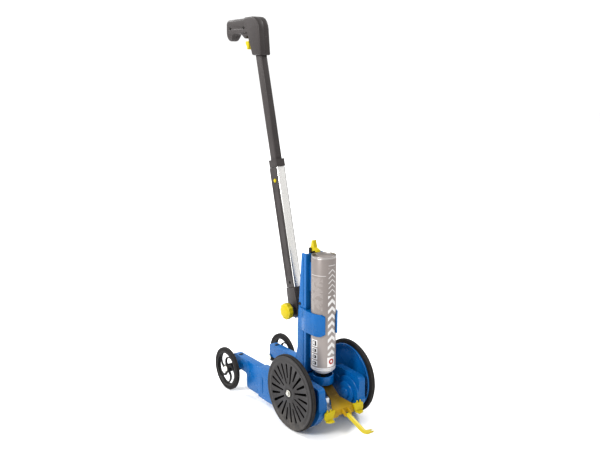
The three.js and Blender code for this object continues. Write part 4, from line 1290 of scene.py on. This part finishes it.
@dataclass
class Grip:
    """Grip in two shells, the yellow trigger, its pin and spring, and the pull cable."""

    screws: tuple[Point, ...] = ((334.0, 1024.0), (402.0, 1024.0))

    def body(self) -> bpy.types.Object:
        """The whole grip as one rounded solid, with its nose and the guard over the trigger."""
        leg_view = [(248.6, 950), (255.0, 1018), (257.2, 1029), (262, 1038.5), (269.5, 1046), (279, 1050.4),
                    (290, 1052), (331, 1050.8), (315.5, 1010), (290.4, 950)]
        leg = across("leg", leg_view, -17, 17)
        bevel(leg, 4.2, 5, 28.0)
        bar_view = [(300, 1012), (300, 1049.4), (412, 1047.5), (420.5, 1040), (421.7, 1000), (415, 990.5),
                    (405, 989.5), (398, 996), (392, 1008.5)]
        bar = across("bar", rounded([(*point, 5) for point in bar_view], 4), -18, 18)
        section = rounded([(-9.0, 988, 8), (9.0, 988, 8), (15.4, 1008, 26), (15.4, 1054, 14),
                           (-15.4, 1054, 14), (-15.4, 1008, 26)], 8)
        bevel(keep_inside(bar, forward("bound", section, 290, 440)), 4.5, 4, 35.0)
        guard = across("guard", [(302, 1012), (356, 1012), (343, 1001), (334, 995.5), (327, 996),
                                 (323.6, 1003), (302, 1003)], -11.5, 11.5)
        bevel(guard, 1.4, 3, 20.0)
        return fuse(leg, bar, guard)

    def shell(self, side: Side) -> bpy.types.Object:
        """One half of the grip, parted on the machine's middle plane.

        Args:
            side: the half to keep.

        Returns:
            The half with its hollow, the trigger's slot, the tube's way and the screw ways.
        """
        piece = self.body()
        y, z = TRIGGER_PIVOT
        hollow = across("hollow", [(264, 1030), (276, 1041), (328, 1041), (328, 1017), (303, 1013),
                                   (293, 996), (264, 986)], -12.6, 12.6)
        slot = across("slot", rectangle(307.5, 324.4, 985, 1016), -7, 7)
        well = across("well", rectangle(309, 323, 1004, 1016), -10.4, 10.4)
        bore = turned("bore", [(0, -12), (1.9, -12), (1.9, 12), (0, 12)], mm(0, y, z), Axis.X, 24)
        ways = [turned("way", [(0, -18), (3.3, -18), (3.3, -14.6), (1.8, -14.6), (1.8, 13), (0, 13)],
                       mm(0, *at), Axis.X, 32) for at in self.screws]
        tube = along_handle("tube", rectangle(-10.6, 10.6, -13.9, 13.9, 3, 4), 655, 736)
        carve(piece, hollow, slot, well, bore, tube, *ways)
        edit_all(piece)
        bpy.ops.mesh.bisect(plane_co=(side.value * 0.00015, 0, 0), plane_no=(side.value, 0, 0),
                            use_fill=True, clear_inner=True)
        bpy.ops.object.mode_set(mode="OBJECT")
        piece.name = side.node("grip_shell") + "_look"
        return soften(tidy(piece), 0.3, 2)

    def trigger(self) -> bpy.types.Object:
        """Finger lever with a hooked tip, hung on its pin."""
        y, z = TRIGGER_PIVOT
        side_view = [(310.4, 1014, 3), (321.6, 1014, 3), (322, 1000), (321.5, 990), (322, 973, 5),
                     (323, 967, 2), (317, 966, 2), (311.0, 974, 3), (308.8, 992)]
        body = across("trigger_look", rounded(side_view, 5), -6.5, 6.5)
        pad = rounded([(314.5, 988, 3), (329, 988, 4), (328.5, 981, 6), (322, 973, 5), (323, 967, 2),
                       (317, 966, 2), (312.6, 974, 3)], 5)
        fuse(body, across("pad", pad, -11.5, 11.5))
        bore = turned("bore", [(0, -9), (2, -9), (2, 9), (0, 9)], mm(0, y, z), Axis.X, 24)
        return soften(carve(body, bore), 1.2, 4)

    def screw(self, y: float, z: float, name: str) -> bpy.types.Object:
        """Countersunk screw with a cross recess."""
        profile = [(0, -17), (2.6, -17), (3.0, -16.6), (3.0, -14.9), (1.5, -14.9), (1.5, 12), (0, 12)]
        body = turned(name, profile, mm(0, y, z), Axis.X, 32)
        return soften(carve(body, *cross_recess(y, z, 1.7, 0.35, -18, -16.2)), 0.1, 2)

    def build(self) -> None:
        """Makes the grip's pieces."""
        for side in Side:
            node = side.node("grip_shell")
            fit(self.shell(side), DARK, "handle_upper", "dark_plastic", node)
        for i, (y, z) in enumerate(self.screws):
            fit(self.screw(y, z, f"grip_screw_{i + 1}_look"), BLACKENED, "handle_upper", "steel",
                f"grip_screw_{i + 1}")
        fit(self.trigger(), YELLOW, "trigger", "yellow_plastic", "trigger")
        pin = turned("trigger_pin_look", [(0, -11.5), (1.4, -11.5), (1.6, -11.2), (1.6, 11.2), (1.4, 11.5),
                                          (0, 11.5)], mm(0, *TRIGGER_PIVOT), Axis.X, 20)
        fit(soften(pin, 0.0), ZINC, "handle_upper", "steel", "trigger_pin")
        fit(coil("trigger_spring_look", mm(-9.2, *TRIGGER_PIVOT), Axis.X, 3.9, 0.35, 2, 0.8), SPRING_STEEL,
            "handle_upper", "steel", "trigger_spring")
        cable = along_handle("pull_cable_look", circle(0, 4, 1.6, 16), 336, 748)
        fit(soften(cable, 0.0), CABLE_SHEATH, "handle_upper", "cable", "pull_cable")


# ------------------------------------------------------------------ spray skirt
@dataclass
class SpraySkirt:
    """Yellow skirt under the can, its two width guards and the folding pointer."""

    def build(self) -> None:
        """Makes the yellow pieces at the front."""
        # The skirt takes the darker copy of the yellow, which is painted shade.
        fit_copy("spray_skirt", SHADED_YELLOW, "chassis", "yellow_plastic", 0.5, 2)
        for side in Side:
            node = side.node("width_guard")
            fit_copy(node, YELLOW, node, "yellow_plastic", 0.6, 3)
        fit_copy("pointer", YELLOW, "pointer", "yellow_plastic", 0.6, 3)
        rivet = turned("pointer_rivet_look", [(0, 24.6), (2.0, 24.6), (2.0, 29.0), (3.2, 29.1), (3.0, 29.7),
                                              (2.0, 30.1), (0, 30.2)], mm(26, -173.5, 0), Axis.Z, 24)
        fit(soften(rivet, 0.0), ZINC, "pointer", "steel", "pointer_rivet")


# ------------------------------------------------------------------ studio
@dataclass
class Studio:
    """White floor, soft lights and the camera."""

    eye: tuple[float, float, float] = (-1.1426, -1.5777, 0.9153)
    pitch: float = 78.21
    heading: float = -36.41
    lens: float = 44.86

    def floor(self) -> None:
        """A wide flat floor, a slab whose top is the ground."""
        half, thickness = 14.0, 0.05
        corners = ((-half, 0), (half, 0), (half, -thickness), (-half, -thickness))
        floor = pushed("studio_floor", [Vector((-half, y, z)) for y, z in corners],
                       Vector((2 * half, 0, 0)))
        floor.data.materials.append(StudioFloor().build())

    def light(self, name: str, at: tuple[float, float, float], size: float, power: float,
              to: tuple[float, float, float] = (0, 0, 0.4)) -> None:
        """A square soft light at one point, aimed at another."""
        data = bpy.data.lights.new(name, "AREA")
        data.size, data.energy = size, power
        lamp = bpy.data.objects.new(name, data)
        bpy.context.scene.collection.objects.link(lamp)
        lamp.location = at
        lamp.rotation_euler = (Vector(to) - Vector(at)).to_track_quat("-Z", "Y").to_euler()

    def build(self) -> None:
        """Makes the studio."""
        self.floor()
        world = bpy.context.scene.world or bpy.data.worlds.new("studio")
        bpy.context.scene.world = world
        world.use_nodes = True
        world.node_tree.nodes["Background"].inputs["Color"].default_value = (1, 1, 1, 1)
        world.node_tree.nodes["Background"].inputs["Strength"].default_value = 0.86
        self.light("key", (-3.0, -0.6, 2.3), 0.8, 80)
        self.light("strip", (-1.2, 2.6, 2.2), 0.7, 34)
        self.light("rim", (2.6, 0.2, 2.4), 0.7, 45)
        self.light("backdrop", (0.8, 3.4, 3.4), 3.0, 160, (1.2, 7.0, 0.6))
        data = bpy.data.cameras.new("view")
        data.lens, data.sensor_width = self.lens, 36.0
        camera = bpy.data.objects.new("view", data)
        bpy.context.scene.collection.objects.link(camera)
        camera.location = self.eye
        camera.rotation_euler = (math.radians(self.pitch), 0, math.radians(self.heading))
        bpy.context.scene.camera = camera
        settings = bpy.context.scene.view_settings
        settings.view_transform = "Standard"
        settings.exposure = 0.33
        settings.gamma = 0.85


def main() -> None:
    """Builds the applicator's looks and the studio."""
    Studio().build()
    for side in Side:
        FrontWheel(side).build()
        RearWheel(side).build()
    for assembly in (Chassis, Upright, AerosolCan, CanPress, HandlePivot, HandleTubes, Grip, SpraySkirt):
        assembly().build()
        LOG.info("%s done", assembly.__name__)


if __name__ == "__main__":
    main()
